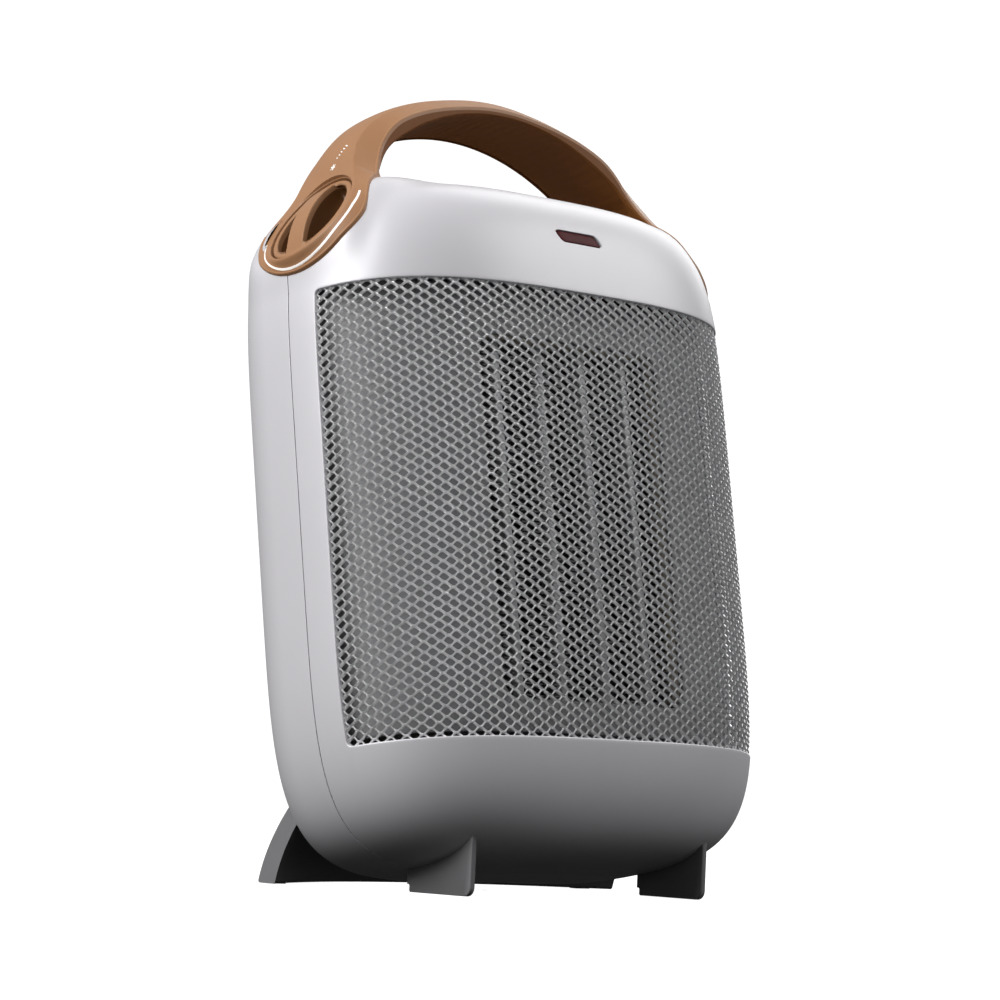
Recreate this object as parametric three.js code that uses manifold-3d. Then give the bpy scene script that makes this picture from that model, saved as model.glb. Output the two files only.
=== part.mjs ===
// Ceramic space heater: a capsule body that leans back on two front fins and a flared rear foot,
// with a wrap-around grille, a strap handle with a round control on each shoulder, and a fan and
// ceramic heating element inside. Millimetres, +Z up, the front faces -Y.
// Most pieces are drawn in the body's own upright frame, and one group leans them all back.
import * as THREE from 'three';
import { mergeVertices } from 'three/addons/utils/BufferGeometryUtils.js';
import Module from 'manifold-3d';

const wasm = await Module();
wasm.setup();

// ---- driving dimensions -------------------------------------------------------------------
const GAP = 0.3;                        // clearance between neighbouring pieces
const LEAN = THREE.MathUtils.degToRad(10.18);
const BODY_FOOT = { y: -5.36, z: 4.62 };  // where the upright frame's origin stands

const HALF_WIDTH = 100;
const HALF_HEIGHT = 127.6;
const FRONT_DEPTH = 70.4;
const REAR_DEPTH = 55;
const FRONT_PLAN = 3.05;                // superellipse exponents of the plan outline
const REAR_PLAN = 1.95;
const TOP_ROUND = 6.37;                 // exponents of the upright outline, side and rear
const BOTTOM_ROUND = 5.28;
const REAR_TOP_ROUND = 3.5;
const REAR_BOTTOM_ROUND = 3.0;
const WALL = 2.5;
const SEAM_Y = -14.5;

const SHOULDER = {                      // a swelling of the body that rises to meet each round lobe
  step: 1.4, rise: 5.6, near: 22, far: 50, low: 210, high: 234, front: -48, back: -38,
};

const OPENING = { bottom: 42, top: 209.6, sideY: -28, corner: 2 };
const MESH = { inset: 1.8, thickness: 1.0 };
const PANEL = { halfWidth: 93, depth: 58.5, thickness: 1.6, sideY: -30 };
const WINDOW = { halfWidth: 45.3, bottom: 56.6, top: 193.8, corner: 8 };

const HEATER = { front: -53, depth: 17, wall: 4, bars: 4, barWidth: 3, pitch: 21.3 };
const FAN = { z: 125, radius: 43, hub: 12, front: -27, depth: 20, blades: 7, twist: 0.6 };
const DUCT = { inner: 45.5, wall: 2, front: -33, rear: -4 };
const CORE = { width: 60, height: 48, front: 9, thickness: 14 };
const MOTOR_SCREW = { x: 24, shank: 1.6 };
const SHAFT_RADIUS = 2;
const INTAKE = { width: 92, height: 108, corner: 18, slots: 9, slotHeight: 5.5 };

const CONTROL = { x: 88.6, y: -18, z: 241.1, tilt: THREE.MathUtils.degToRad(36.3) };
const LOBE_RADIUS = 26.5;
const CUP = { bore: 20.2, outer: 22.4, depth: 10.5, floor: 2.5 };
const KNOB = { radius: 19.6, top: -0.5, bottom: -9.8, pocket: 17.2, pocketDepth: 7 };
const GRIP = { width: 9, rise: 3.5 };
const GRIP_TURN = THREE.MathUtils.degToRad(5);
const SPINDLE_RADIUS = 3;
const SWITCH_BODY = { radius: 12, top: -15, bottom: -30 };

const STRAP = {
  radius: 96, front: -30, rear: 4, thickness: 4.5, flareStart: 62, crown: 4.5, crownFade: 55, crownEnd: 90,
};
const LINER = { margin: 6, depth: 2, thickness: 1.4, reach: 78 };

const LENS = { width: 22, height: 5, z: 232, corner: 2, inset: 0.7, thickness: 5 };

const FIN = {
  x: 56.8, thickness: 2.3, front: -51.5, rear: -17.4, top: 30, corner: 3.4,
  step: { height: 2.8, depth: 1.4 },
};
const FOOT = {
  halfWidth: 84, tipFront: 28.3, midFront: 56.5, height: 31, rim: 10.3, midRim: 6,
  lean: 0.25, curl: 0.012, bend: 2.2, arch: 2,
};
const PAD = { x: 76, width: 7, depth: 4, height: 1.4, lift: 0.4 };
const PLUNGER = { y: 26, radius: 2.6, collar: 4.2 };
const GLAND = { x: 55, y: 42, z: 36, barrel: 6, flange: 8.5, bore: 3.4 };
const CASE_SCREW = {
  x: 80, rows: [50, 190], well: 5.5, bore: 3.6, head: 3.1, shank: 1.3, boss: 4, bossFront: -27, seat: -11,
};

// ---- materials ----------------------------------------------------------------------------
const paint = (color, roughness, metalness = 0) =>
  new THREE.MeshStandardMaterial({ color, roughness, metalness });
const pearl = paint(0xcfccd0, 0.4, 0.2);
const silver = paint(0xa9a9ac, 0.4, 0.7);
const greyPlastic = paint(0x77777b, 0.6);
const blackPlastic = paint(0x1b1b1c, 0.6);
const caramel = paint(0x9c6b4b, 0.45);
const darkCaramel = paint(0x4a2a12, 0.5);
const redLens = paint(0x7a1414, 0.2);
const aluminium = paint(0xb8babd, 0.35, 0.9);
const steel = paint(0x8f9195, 0.35, 0.9);
const brass = paint(0xb0924d, 0.35, 0.9);
const copper = paint(0xa8613a, 0.4, 0.8);
const mica = paint(0xd8d2c4, 0.7);
const rubber = paint(0x222222, 0.9);

// ---- solid helpers ------------------------------------------------------------------------
function toSolid(geometry) {
  const bare = geometry.clone();
  bare.deleteAttribute('normal');
  bare.deleteAttribute('uv');
  const merged = mergeVertices(bare, 1e-4);
  const index = merged.index.array;
  const triangles = [];
  for (let i = 0; i < index.length; i += 3) {
    const [a, b, c] = [index[i], index[i + 1], index[i + 2]];
    if (a !== b && b !== c && c !== a) triangles.push(a, b, c);
  }
  return new wasm.Manifold(new wasm.Mesh({
    numProp: 3,
    vertProperties: Float32Array.from(merged.attributes.position.array),
    triVerts: Uint32Array.from(triangles),
  }));
}

function toGeometry(solid) {
  const mesh = solid.getMesh();
  const geometry = new THREE.BufferGeometry();
  geometry.setAttribute('position', new THREE.BufferAttribute(mesh.vertProperties, 3));
  geometry.setIndex(new THREE.BufferAttribute(mesh.triVerts, 1));
  geometry.computeVertexNormals();
  return geometry;
}

// Joins a list of point rings, all of one length, into a closed solid with flat ends.
function loft(rings) {
  const count = rings[0].length;
  const points = rings.flat();
  const triangles = [];
  for (let r = 0; r + 1 < rings.length; r += 1) {
    for (let i = 0; i < count; i += 1) {
      const a = r * count + i;
      const b = r * count + (i + 1) % count;
      triangles.push(a, b, b + count, a, b + count, a + count);
    }
  }
  for (const [first, turn] of [[0, true], [(rings.length - 1) * count, false]]) {
    const outline = points.slice(first, first + count);
    for (const face of capFaces(outline)) {
      const [a, b, c] = face.map((corner) => first + corner);
      triangles.push(...(turn ? [a, c, b] : [a, b, c]));
    }
  }
  return closedSolid(points, triangles);
}

// Triangles over one flat ring, drawn on the plane that the ring lies nearest to.
function capFaces(ring) {
  const normal = new THREE.Vector3();
  ring.forEach((p, i) => normal.add(p.clone().cross(ring[(i + 1) % ring.length])));
  normal.normalize();
  const across = ring[1].clone().sub(ring[0]).projectOnPlane(normal).normalize();
  const up = normal.clone().cross(across);
  const flat = ring.map((p) => new THREE.Vector2(p.dot(across), p.dot(up)));
  return THREE.ShapeUtils.triangulateShape(flat, []);
}

// Builds a solid from points and triangles, turned so that its faces point out.
function closedSolid(points, triangles) {
  let volume = 0;
  for (let i = 0; i < triangles.length; i += 3) {
    const [a, b, c] = [0, 1, 2].map((k) => points[triangles[i + k]]);
    volume += a.dot(b.clone().cross(c));
  }
  if (volume < 0) triangles.reverse();
  return new wasm.Manifold(new wasm.Mesh({
    numProp: 3,
    vertProperties: Float32Array.from(points.flatMap((p) => [p.x, p.y, p.z])),
    triVerts: Uint32Array.from(triangles),
  }));
}

const X = new THREE.Vector3(1, 0, 0);
const Y = new THREE.Vector3(0, 1, 0);
const Z = new THREE.Vector3(0, 0, 1);
const at = (x, y, z) => new THREE.Vector3(x, y, z);

// A cylinder from one distance to another along an axis through origin.
function rod(origin, axis, from, to, radius, sides = 20) {
  const geometry = new THREE.CylinderGeometry(radius, radius, to - from, sides);
  geometry.applyQuaternion(new THREE.Quaternion().setFromUnitVectors(Y, axis));
  const centre = origin.clone().addScaledVector(axis, (from + to) / 2);
  return toSolid(geometry.translate(centre.x, centre.y, centre.z));
}

// A box between two corners.
function block(low, high) {
  const size = at(...high).sub(at(...low));
  const centre = at(...low).addScaledVector(size, 0.5);
  const geometry = new THREE.BoxGeometry(size.x, size.y, size.z);
  return toSolid(geometry.translate(centre.x, centre.y, centre.z));
}

// A rounded rectangle across X and Z, extruded along Y.
function roundedBlock(halfWidth, bottom, top, corner, front, rear, segments = 4) {
  const shape = new THREE.Shape();
  shape.moveTo(-halfWidth + corner, bottom);
  shape.lineTo(halfWidth - corner, bottom);
  shape.absarc(halfWidth - corner, bottom + corner, corner, -Math.PI / 2, 0);
  shape.absarc(halfWidth - corner, top - corner, corner, 0, Math.PI / 2);
  shape.absarc(-halfWidth + corner, top - corner, corner, Math.PI / 2, Math.PI);
  shape.absarc(-halfWidth + corner, bottom + corner, corner, Math.PI, Math.PI * 1.5);
  const options = { depth: rear - front, bevelEnabled: false, curveSegments: segments };
  const geometry = new THREE.ExtrudeGeometry(shape, options);
  geometry.rotateX(Math.PI / 2);
  return toSolid(geometry.translate(0, rear, 0));
}

// A side-view shape, drawn in Y and Z, extruded along X.
function sideBlock(shape, from, to) {
  const options = { depth: to - from, bevelEnabled: false, curveSegments: 4 };
  const geometry = new THREE.ExtrudeGeometry(shape, options);
  geometry.applyMatrix4(new THREE.Matrix4().makeBasis(Y, Z, X));
  return toSolid(geometry.translate(from, 0, 0));
}

const mirrored = (solid) => solid.mirror([1, 0, 0]);
const halfSpace = (low, high) => block([-150, low, -50], [150, high, 350]);
const slab = (bottom, top) => block([-150, -120, bottom], [150, 120, top]);

// ---- body surface -------------------------------------------------------------------------
const signedPower = (value, exponent) => Math.sign(value) * Math.abs(value) ** exponent;

// How far a meridian at this plan angle has turned from the side towards the middle of the back.
function rearBlend(angle) {
  const degrees = THREE.MathUtils.radToDeg(Math.atan2(Math.max(Math.sin(angle), 0),
    Math.abs(Math.cos(angle))));
  return THREE.MathUtils.smoothstep(degrees, 15, 75);
}

function capsulePoint(plan, rise, grow) {
  const inFront = Math.sin(plan) < 0;
  const flat = 2 / (inFront ? FRONT_PLAN : REAR_PLAN);
  const above = rise > 0;
  const side = above ? TOP_ROUND : BOTTOM_ROUND;
  const rear = above ? REAR_TOP_ROUND : REAR_BOTTOM_ROUND;
  const round = 2 / THREE.MathUtils.lerp(side, rear, rearBlend(plan));
  const reach = Math.cos(rise) ** round;
  return at(
    (HALF_WIDTH + grow) * reach * signedPower(Math.cos(plan), flat),
    ((inFront ? FRONT_DEPTH : REAR_DEPTH) + grow) * reach * signedPower(Math.sin(plan), flat),
    HALF_HEIGHT + (HALF_HEIGHT + grow) * signedPower(Math.sin(rise), round),
  );
}

// How far the shoulder swells out at a point of the capsule, measured against the lobe's flat face.
function shoulderRise(point) {
  const { tilt } = CONTROL;
  const [x, y, z] = [Math.abs(point.x) - CONTROL.x, point.y - CONTROL.y, point.z - CONTROL.z];
  const height = x * Math.cos(tilt) + z * Math.sin(tilt);
  const away = Math.sqrt(Math.max(x * x + y * y + z * z - height * height, 0));
  const drop = Math.max(-SHOULDER.step - height, 0);
  return SHOULDER.rise * Math.tanh(drop / SHOULDER.rise)
    * (1 - THREE.MathUtils.smoothstep(away, SHOULDER.near, SHOULDER.far))
    * THREE.MathUtils.smoothstep(point.z, SHOULDER.low, SHOULDER.high)
    * THREE.MathUtils.smoothstep(point.y, SHOULDER.front, SHOULDER.back);
}

function bodyPoint(plan, rise, grow) {
  const centre = at(0, 0, HALF_HEIGHT);
  const swell = shoulderRise(capsulePoint(plan, rise, 0));
  const point = capsulePoint(plan, rise, grow);
  return point.addScaledVector(point.clone().sub(centre).normalize(), swell);
}

// The capsule, grown outwards by a margin, with a flat spot at each pole.
function body(grow, around = 36, levels = 14) {
  const poleAngle = THREE.MathUtils.degToRad(88);
  const rings = [];
  for (let level = 0; level <= levels; level += 1) {
    const rise = -poleAngle + (2 * poleAngle * level) / levels;
    const ring = [];
    for (let i = 0; i < around; i += 1) {
      ring.push(bodyPoint(-Math.PI + (2 * Math.PI * i) / around, rise, grow));
    }
    if (level === 0 || level === levels) ring.forEach((p) => { p.z = ring[0].z; });
    rings.push(ring);
  }
  return loft(rings);
}

const outside = body(0);
const inside = body(-WALL);
const clearBody = body(GAP + 0.2);

// ---- controls' frame ----------------------------------------------------------------------
const controlAxis = at(-Math.cos(CONTROL.tilt), 0, Math.sin(CONTROL.tilt));
const controlUp = at(Math.sin(CONTROL.tilt), 0, Math.cos(CONTROL.tilt));
const controlCentre = at(-CONTROL.x, CONTROL.y, CONTROL.z);
const controlRod = (from, to, radius, sides = 28) =>
  rod(controlCentre, controlAxis, from, to, radius, sides);

// ---- casing -------------------------------------------------------------------------------
// The grille's opening, which runs across the front from one side to the other.
function grilleCut(margin) {
  const { bottom, top, sideY, corner } = OPENING;
  const front = -FRONT_DEPTH - 30;
  const rear = sideY - margin;
  const shape = new THREE.Shape();
  shape.moveTo(front, bottom + margin);
  shape.lineTo(rear - corner, bottom + margin);
  shape.absarc(rear - corner, bottom + margin + corner, corner, -Math.PI / 2, 0);
  shape.absarc(rear - corner, top - margin - corner, corner, 0, Math.PI / 2);
  shape.lineTo(front, top - margin);
  return sideBlock(shape, -HALF_WIDTH - 20, HALF_WIDTH + 20);
}

const socket = controlRod(-25, 15, CUP.outer + 0.6);
const casing = outside.subtract(inside).subtract(socket).subtract(mirrored(socket));

function frontBoss(side, z) {
  const centre = at(side * CASE_SCREW.x, 0, z);
  const wallX = side * (HALF_WIDTH - 1.5);
  const [left, right] = [Math.min(centre.x, wallX), Math.max(centre.x, wallX)];
  const rib = block([left, -24, z - 1.2], [right, SEAM_Y - GAP / 2, z + 1.2]).intersect(outside);
  const { boss, bossFront, shank } = CASE_SCREW;
  return rod(centre, Y, bossFront, SEAM_Y - GAP / 2, boss, 14).add(rib)
    .subtract(rod(centre, Y, bossFront + 1.5, 0, shank + GAP, 12));
}

function frontShell() {
  let shell = casing.intersect(halfSpace(-110, SEAM_Y - GAP / 2)).subtract(grilleCut(0));
  shell = shell.subtract(roundedBlock(LENS.width / 2, LENS.z - LENS.height / 2,
    LENS.z + LENS.height / 2, LENS.corner, -90, -55));
  for (const side of [-1, 1]) {
    for (const z of CASE_SCREW.rows) shell = shell.add(frontBoss(side, z));
  }
  return shell;
}

function rearShell() {
  let shell = casing.intersect(halfSpace(SEAM_Y + GAP / 2, 110));
  const { width, height, corner } = INTAKE;
  const intake = roundedBlock(width / 2, FAN.z - height / 2, FAN.z + height / 2, corner, 20, 90);
  shell = shell.subtract(intake);
  for (const side of [-1, 1]) {
    for (const z of CASE_SCREW.rows) {
      const centre = at(side * CASE_SCREW.x, 0, z);
      const well = rod(centre, Y, SEAM_Y + GAP / 2, 60, CASE_SCREW.well, 14).intersect(outside);
      shell = shell.add(well)
        .subtract(rod(centre, Y, CASE_SCREW.seat, 70, CASE_SCREW.bore, 14))
        .subtract(rod(centre, Y, -20, 0, CASE_SCREW.shank + GAP, 12));
    }
  }
  const plungerHole = rod(fromWorld(0, PLUNGER.y, 0), uprightAxis, -5, 20, PLUNGER.radius + 0.5, 16);
  const glandHole = glandRod(-12, 30, GLAND.barrel + 0.4);
  return shell.subtract(plungerHole).subtract(glandHole);
}

// The floor's frame seen from the leaning body: a point, and the direction straight up.
function fromWorld(x, y, z) {
  const [dy, dz] = [y - BODY_FOOT.y, z - BODY_FOOT.z];
  return at(x, dy * Math.cos(LEAN) - dz * Math.sin(LEAN), dy * Math.sin(LEAN) + dz * Math.cos(LEAN));
}
const uprightAxis = at(0, -Math.sin(LEAN), Math.cos(LEAN));
const levelAxis = at(0, Math.cos(LEAN), Math.sin(LEAN));

function caseScrew(side, z) {
  const centre = at(side * CASE_SCREW.x, 0, z);
  const headTop = CASE_SCREW.seat + 3.5;
  const head = rod(centre, Y, CASE_SCREW.seat + GAP, headTop, CASE_SCREW.head, 14);
  const shank = rod(centre, Y, CASE_SCREW.bossFront + 2.5, headTop - 2, CASE_SCREW.shank, 10);
  const slot = block([centre.x - 0.6, headTop - 1.1, z - 2.2], [centre.x + 0.6, headTop + 1, z + 2.2]);
  return head.add(shank).subtract(slot);
}

// ---- grille, panel and heating element ----------------------------------------------------
function frontGrille() {
  const face = body(-MESH.inset).subtract(body(-MESH.inset - MESH.thickness));
  return face.intersect(grilleCut(GAP));
}

function panelBlank(shrink) {
  const rings = [-20, 290].map((z) => {
    const ring = [];
    for (let i = 0; i < 44; i += 1) {
      const angle = (2 * Math.PI * i) / 44;
      ring.push(at((PANEL.halfWidth - shrink) * signedPower(Math.cos(angle), 2 / FRONT_PLAN),
        (PANEL.depth - shrink) * signedPower(Math.sin(angle), 2 / FRONT_PLAN), z));
    }
    return ring;
  });
  return loft(rings);
}

function outletPanel() {
  const [low, high] = [OPENING.bottom - 4, OPENING.top + 4];
  const core = panelBlank(PANEL.thickness);
  const behind = halfSpace(-110, PANEL.sideY);
  const sheet = panelBlank(0).subtract(core).intersect(slab(low, high));
  const reach = body(-WALL - GAP).subtract(core);
  const flanges = reach.intersect(slab(low, low + 1.6)).add(reach.intersect(slab(high - 1.6, high)));
  const { halfWidth, bottom, top, corner } = WINDOW;
  return sheet.add(flanges).intersect(behind)
    .subtract(roundedBlock(halfWidth, bottom, top, corner, -90, -40));
}

function heaterFrame() {
  const { halfWidth, bottom, top } = WINDOW;
  const rear = HEATER.front + HEATER.depth;
  const rim = HEATER.wall;
  return roundedBlock(halfWidth + rim, bottom - rim, top + rim, 4, HEATER.front, rear)
    .subtract(roundedBlock(halfWidth, bottom, top, 1, HEATER.front - 5, rear + 5, 1));
}

const barLeft = (i) => (i - (HEATER.bars - 1) / 2) * HEATER.pitch - HEATER.barWidth / 2;
const packLeft = (i) => (i === 0 ? -WINDOW.halfWidth : barLeft(i - 1) + HEATER.barWidth) + GAP;
const packRight = (i) => (i === HEATER.bars ? WINDOW.halfWidth : barLeft(i)) - GAP;
const [elementBottom, elementTop] = [WINDOW.bottom + GAP, WINDOW.top - GAP];
const elementRear = HEATER.front + HEATER.depth - 2;

function heaterBar(i) {
  const left = barLeft(i);
  const right = left + HEATER.barWidth;
  return block([left, HEATER.front + 2, elementBottom], [right, elementRear, elementTop]);
}

// A corrugated radiator fin pack, drawn as a block with a folded front edge.
function finPack(i) {
  const folds = 12;
  const pitch = (elementTop - elementBottom) / folds;
  const crest = HEATER.front + 2.5;
  const outline = [];
  for (let k = 0; k < folds; k += 1) {
    outline.push([crest, elementBottom + k * pitch]);
    outline.push([crest + 1.5, elementBottom + (k + 0.5) * pitch]);
  }
  outline.push([crest, elementTop], [elementRear, elementTop], [elementRear, elementBottom]);
  const shape = new THREE.Shape(outline.map(([y, z]) => new THREE.Vector2(y, z)));
  return sideBlock(shape, packLeft(i), packRight(i));
}

function thermalCutout() {
  const centre = at(-30, 0, WINDOW.top + HEATER.wall + 8);
  return rod(centre, Y, HEATER.front + 4, HEATER.front + 9, 7, 18)
    .add(rod(centre, Y, HEATER.front + 8.5, HEATER.front + 12, 3, 12));
}

// ---- fan and motor ------------------------------------------------------------------------
const fanCentre = at(0, 0, FAN.z);
const fanRod = (from, to, radius, sides = 16) => rod(fanCentre, Y, from, to, radius, sides);

// A square duct with a round throat for the fan, and three struts that carry the motor.
function fanDuct() {
  const { inner, wall, front, rear } = DUCT;
  const half = inner + wall + 2;
  let duct = roundedBlock(half, FAN.z - half, FAN.z + half, 14, front, rear)
    .subtract(fanRod(front - 5, rear + 5, inner, 28));
  for (let k = 0; k < 3; k += 1) {
    const strut = block([-2, rear - 3, 8], [2, rear, inner + 1])
      .rotate([0, 60 + 120 * k, 0]).translate([0, 0, FAN.z]);
    duct = duct.add(strut);
  }
  const seat = fanRod(rear - 3, rear, 11).subtract(fanRod(rear - 10, rear + 5, 5.5));
  return duct.add(seat);
}

function fanImpeller() {
  const { radius, hub, front, depth, blades, twist } = FAN;
  let fan = fanRod(front, front + depth, hub);
  for (let k = 0; k < blades; k += 1) {
    const rings = [];
    for (let step = 0; step <= 2; step += 1) {
      const out = hub - 2 + ((radius - hub + 2) * step) / 2;
      const pitch = twist * (1.6 - step / 2);
      const chord = 9 + 2.2 * step;
      const along = at(Math.cos(pitch) * chord, Math.sin(pitch) * 9, 0);
      const thick = at(-Math.sin(pitch) * 0.7, Math.cos(pitch) * 0.7, 0);
      const middle = at(0, front + depth / 2, out);
      rings.push([
        middle.clone().sub(along).sub(thick), middle.clone().add(along).sub(thick),
        middle.clone().add(along).add(thick), middle.clone().sub(along).add(thick),
      ]);
    }
    fan = fan.add(loft(rings).rotate([0, (360 * k) / blades, 0]).translate([0, 0, FAN.z]));
  }
  return fan.subtract(fanRod(front - 5, front + depth + 5, SHAFT_RADIUS + GAP, 12));
}

// The core hangs low on the shaft, with its coil on the bottom bar.
const coreBottom = FAN.z - CORE.height / 2 - 6;

function motorCore() {
  const { width, height, front, thickness } = CORE;
  const low = coreBottom;
  const outer = block([-width / 2, front, low], [width / 2, front + thickness, low + height]);
  const coilWindow = block([-18, front - 5, low + 8], [18, front + thickness + 5, low + 18]);
  return outer.subtract(coilWindow).subtract(fanRod(front - 5, front + thickness + 5, 12.5, 18))
    .subtract(motorScrewHole(-1)).subtract(motorScrewHole(1));
}

const motorScrewHole = (side) =>
  rod(at(side * MOTOR_SCREW.x, 0, FAN.z), Y, -20, 60, MOTOR_SCREW.shank + GAP, 10);

function motorCoil() {
  const low = coreBottom;
  const [front, rear] = [CORE.front - 7, CORE.front + CORE.thickness + 7];
  const winding = block([-14, front, low - 7], [14, rear, low + 14]);
  const coreBar = block([-40, CORE.front - GAP, low - GAP],
    [40, CORE.front + CORE.thickness + GAP, low + 8 + GAP]);
  return winding.subtract(coreBar);
}

function motorBracket(front, rear) {
  const bar = roundedBlock(29, FAN.z - 7, FAN.z + 7, 5, front, rear, 2)
    .subtract(motorScrewHole(-1)).subtract(motorScrewHole(1));
  return bar.subtract(fanRod(front - 5, rear + 5, 5 + GAP, 12));
}

const bearing = (front, rear) =>
  fanRod(front, rear, 5, 12).subtract(fanRod(front - 5, rear + 5, SHAFT_RADIUS + GAP, 12));

function motorRotor() {
  return fanRod(CORE.front + 1, CORE.front + CORE.thickness - 1, 11.9, 18)
    .subtract(fanRod(-50, 60, SHAFT_RADIUS + GAP, 12));
}

function motorScrew(side) {
  const centre = at(side * MOTOR_SCREW.x, 0, FAN.z);
  const rearFace = CORE.front + CORE.thickness + 2 + 2 * GAP;
  const head = rod(centre, Y, rearFace + GAP, rearFace + 2.6, 3, 12);
  return rod(centre, Y, 1, rearFace + 1, MOTOR_SCREW.shank, 10).add(head);
}

function rearGrille() {
  const { width, height, corner, slots, slotHeight } = INTAKE;
  const inset = GAP + 0.1;
  let grille = outside.subtract(inside).intersect(roundedBlock(width / 2 - inset,
    FAN.z - height / 2 + inset, FAN.z + height / 2 - inset, corner, 20, 90));
  const pitch = (height - 16) / slots;
  for (let k = 0; k < slots; k += 1) {
    const z = FAN.z - height / 2 + 8 + (k + 0.5) * pitch;
    const half = width / 2 - 8 - Math.max(0, Math.abs(z - FAN.z) - 34) * 0.5;
    for (const side of [-1, 1]) {
      const [left, right] = side < 0 ? [-half, -2] : [2, half];
      grille = grille.subtract(block([left, 20, z - slotHeight / 2], [right, 90, z + slotHeight / 2]));
    }
  }
  return grille;
}

// ---- handle -------------------------------------------------------------------------------
const ARC_ANGLE = Math.PI / 2 - CONTROL.tilt;
const ARC_LENGTH = STRAP.radius * ARC_ANGLE;
const faceDistance = CONTROL.x * Math.cos(CONTROL.tilt) + CONTROL.z * Math.sin(CONTROL.tilt);
const arcCentreZ = (faceDistance - STRAP.radius) / Math.sin(CONTROL.tilt);
const lobeStart = ARC_LENGTH + (CONTROL.x - STRAP.radius * Math.sin(ARC_ANGLE)) / Math.cos(ARC_ANGLE);

// The strap's outer centre line and its outward direction at a distance from the apex.
function strapFrame(distance) {
  const along = Math.min(Math.abs(distance), ARC_LENGTH);
  const side = Math.sign(distance);
  const angle = along / STRAP.radius;
  const outward = at(side * Math.sin(angle), 0, Math.cos(angle));
  const beyond = Math.abs(distance) - along;
  const point = at(0, 0, arcCentreZ).addScaledVector(outward, STRAP.radius)
    .addScaledVector(at(side * Math.cos(angle), 0, -Math.sin(angle)), beyond);
  return { point, outward };
}

// Front and rear edges: a narrow strap that flares into a round lobe around each control.
function strapEdges(distance) {
  const far = Math.abs(distance);
  if (far > lobeStart) {
    const half = Math.sqrt(Math.max(LOBE_RADIUS ** 2 - (far - lobeStart) ** 2, 1));
    return [CONTROL.y - half, CONTROL.y + half];
  }
  const flare = THREE.MathUtils.smoothstep(far, STRAP.flareStart, lobeStart);
  return [
    THREE.MathUtils.lerp(STRAP.front, CONTROL.y - LOBE_RADIUS, flare),
    THREE.MathUtils.lerp(STRAP.rear, CONTROL.y + LOBE_RADIUS, flare),
  ];
}

function strapRing(distance) {
  const { point, outward } = strapFrame(distance);
  const [front, rear] = strapEdges(distance);
  const fade = THREE.MathUtils.smoothstep(Math.abs(distance), STRAP.crownFade, STRAP.crownEnd);
  const crown = STRAP.crown * (1 - fade);
  const ring = [];
  for (let i = 0; i <= 4; i += 1) {
    const across = i / 2 - 1;
    const y = THREE.MathUtils.lerp(front, rear, i / 4);
    ring.push(point.clone().setY(y).addScaledVector(outward, crown * (1 - across * across)));
  }
  ring.push(point.clone().setY(rear).addScaledVector(outward, -STRAP.thickness));
  ring.push(point.clone().setY(front).addScaledVector(outward, -STRAP.thickness));
  return ring;
}

// A band under the strap between two depths below its edges, for the liner and its channel.
function strapBand(reach, margin, top, bottom) {
  const rings = [];
  const steps = 18;
  for (let i = 0; i <= steps; i += 1) {
    const { point, outward } = strapFrame(-reach + (2 * reach * i) / steps);
    const [front, rear] = [STRAP.front + margin, STRAP.rear - margin];
    rings.push([[front, top], [rear, top], [rear, bottom], [front, bottom]]
      .map(([y, depth]) => point.clone().setY(y).addScaledVector(outward, -depth)));
  }
  return loft(rings);
}

function handleStrap() {
  const end = lobeStart + LOBE_RADIUS - 0.02;
  const rings = [];
  const steps = 28;
  for (let i = 0; i <= steps; i += 1) {
    const share = (2 * i) / steps - 1;
    rings.push(strapRing(end * Math.sin((share * Math.PI) / 2) * 0.5 + end * share * 0.5));
  }
  const lobe = controlRod(-11, 0, LOBE_RADIUS);
  const cup = controlRod(-CUP.depth - CUP.floor, 0, CUP.outer);
  const recess = controlRod(-CUP.depth, 20, CUP.bore).add(controlRod(-20, 20, SPINDLE_RADIUS + GAP, 12));
  let handle = loft(rings).add(lobe).add(mirrored(lobe)).subtract(clearBody);
  handle = handle.add(cup).add(mirrored(cup)).subtract(recess).subtract(mirrored(recess));
  const top = STRAP.thickness - LINER.depth;
  return handle.subtract(strapBand(LINER.reach, LINER.margin, top, STRAP.thickness + 2));
}

function handleLiner() {
  const top = STRAP.thickness - LINER.depth + GAP;
  return strapBand(LINER.reach - GAP, LINER.margin + GAP, top, top + LINER.thickness);
}

// ---- controls -----------------------------------------------------------------------------
function knob() {
  const { radius, top, bottom, pocket, pocketDepth } = KNOB;
  const bore = controlRod(-20, bottom + 3.5, SPINDLE_RADIUS + GAP, 12);
  const disc = controlRod(bottom, top, radius)
    .subtract(controlRod(top - pocketDepth, top + 5, pocket));
  const grip = new THREE.Shape();
  const floor = top - pocketDepth - 0.5;
  grip.moveTo(-pocket - 0.8, floor);
  grip.lineTo(pocket + 0.8, floor);
  grip.lineTo(pocket + 0.8, top);
  grip.quadraticCurveTo(0, top + 2 * GRIP.rise, -pocket - 0.8, top);
  const geometry = new THREE.ExtrudeGeometry(grip,
    { depth: GRIP.width, bevelEnabled: false, curveSegments: 6 });
  geometry.translate(0, 0, -GRIP.width / 2);
  const along = controlUp.clone().applyAxisAngle(controlAxis, GRIP_TURN);
  const basis = new THREE.Matrix4().makeBasis(along, controlAxis, along.clone().cross(controlAxis));
  geometry.applyMatrix4(basis.setPosition(controlCentre));
  return disc.add(toSolid(geometry)).subtract(bore);
}

const spindle = () => controlRod(SWITCH_BODY.top - 9, KNOB.bottom + 3, SPINDLE_RADIUS, 12);

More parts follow.
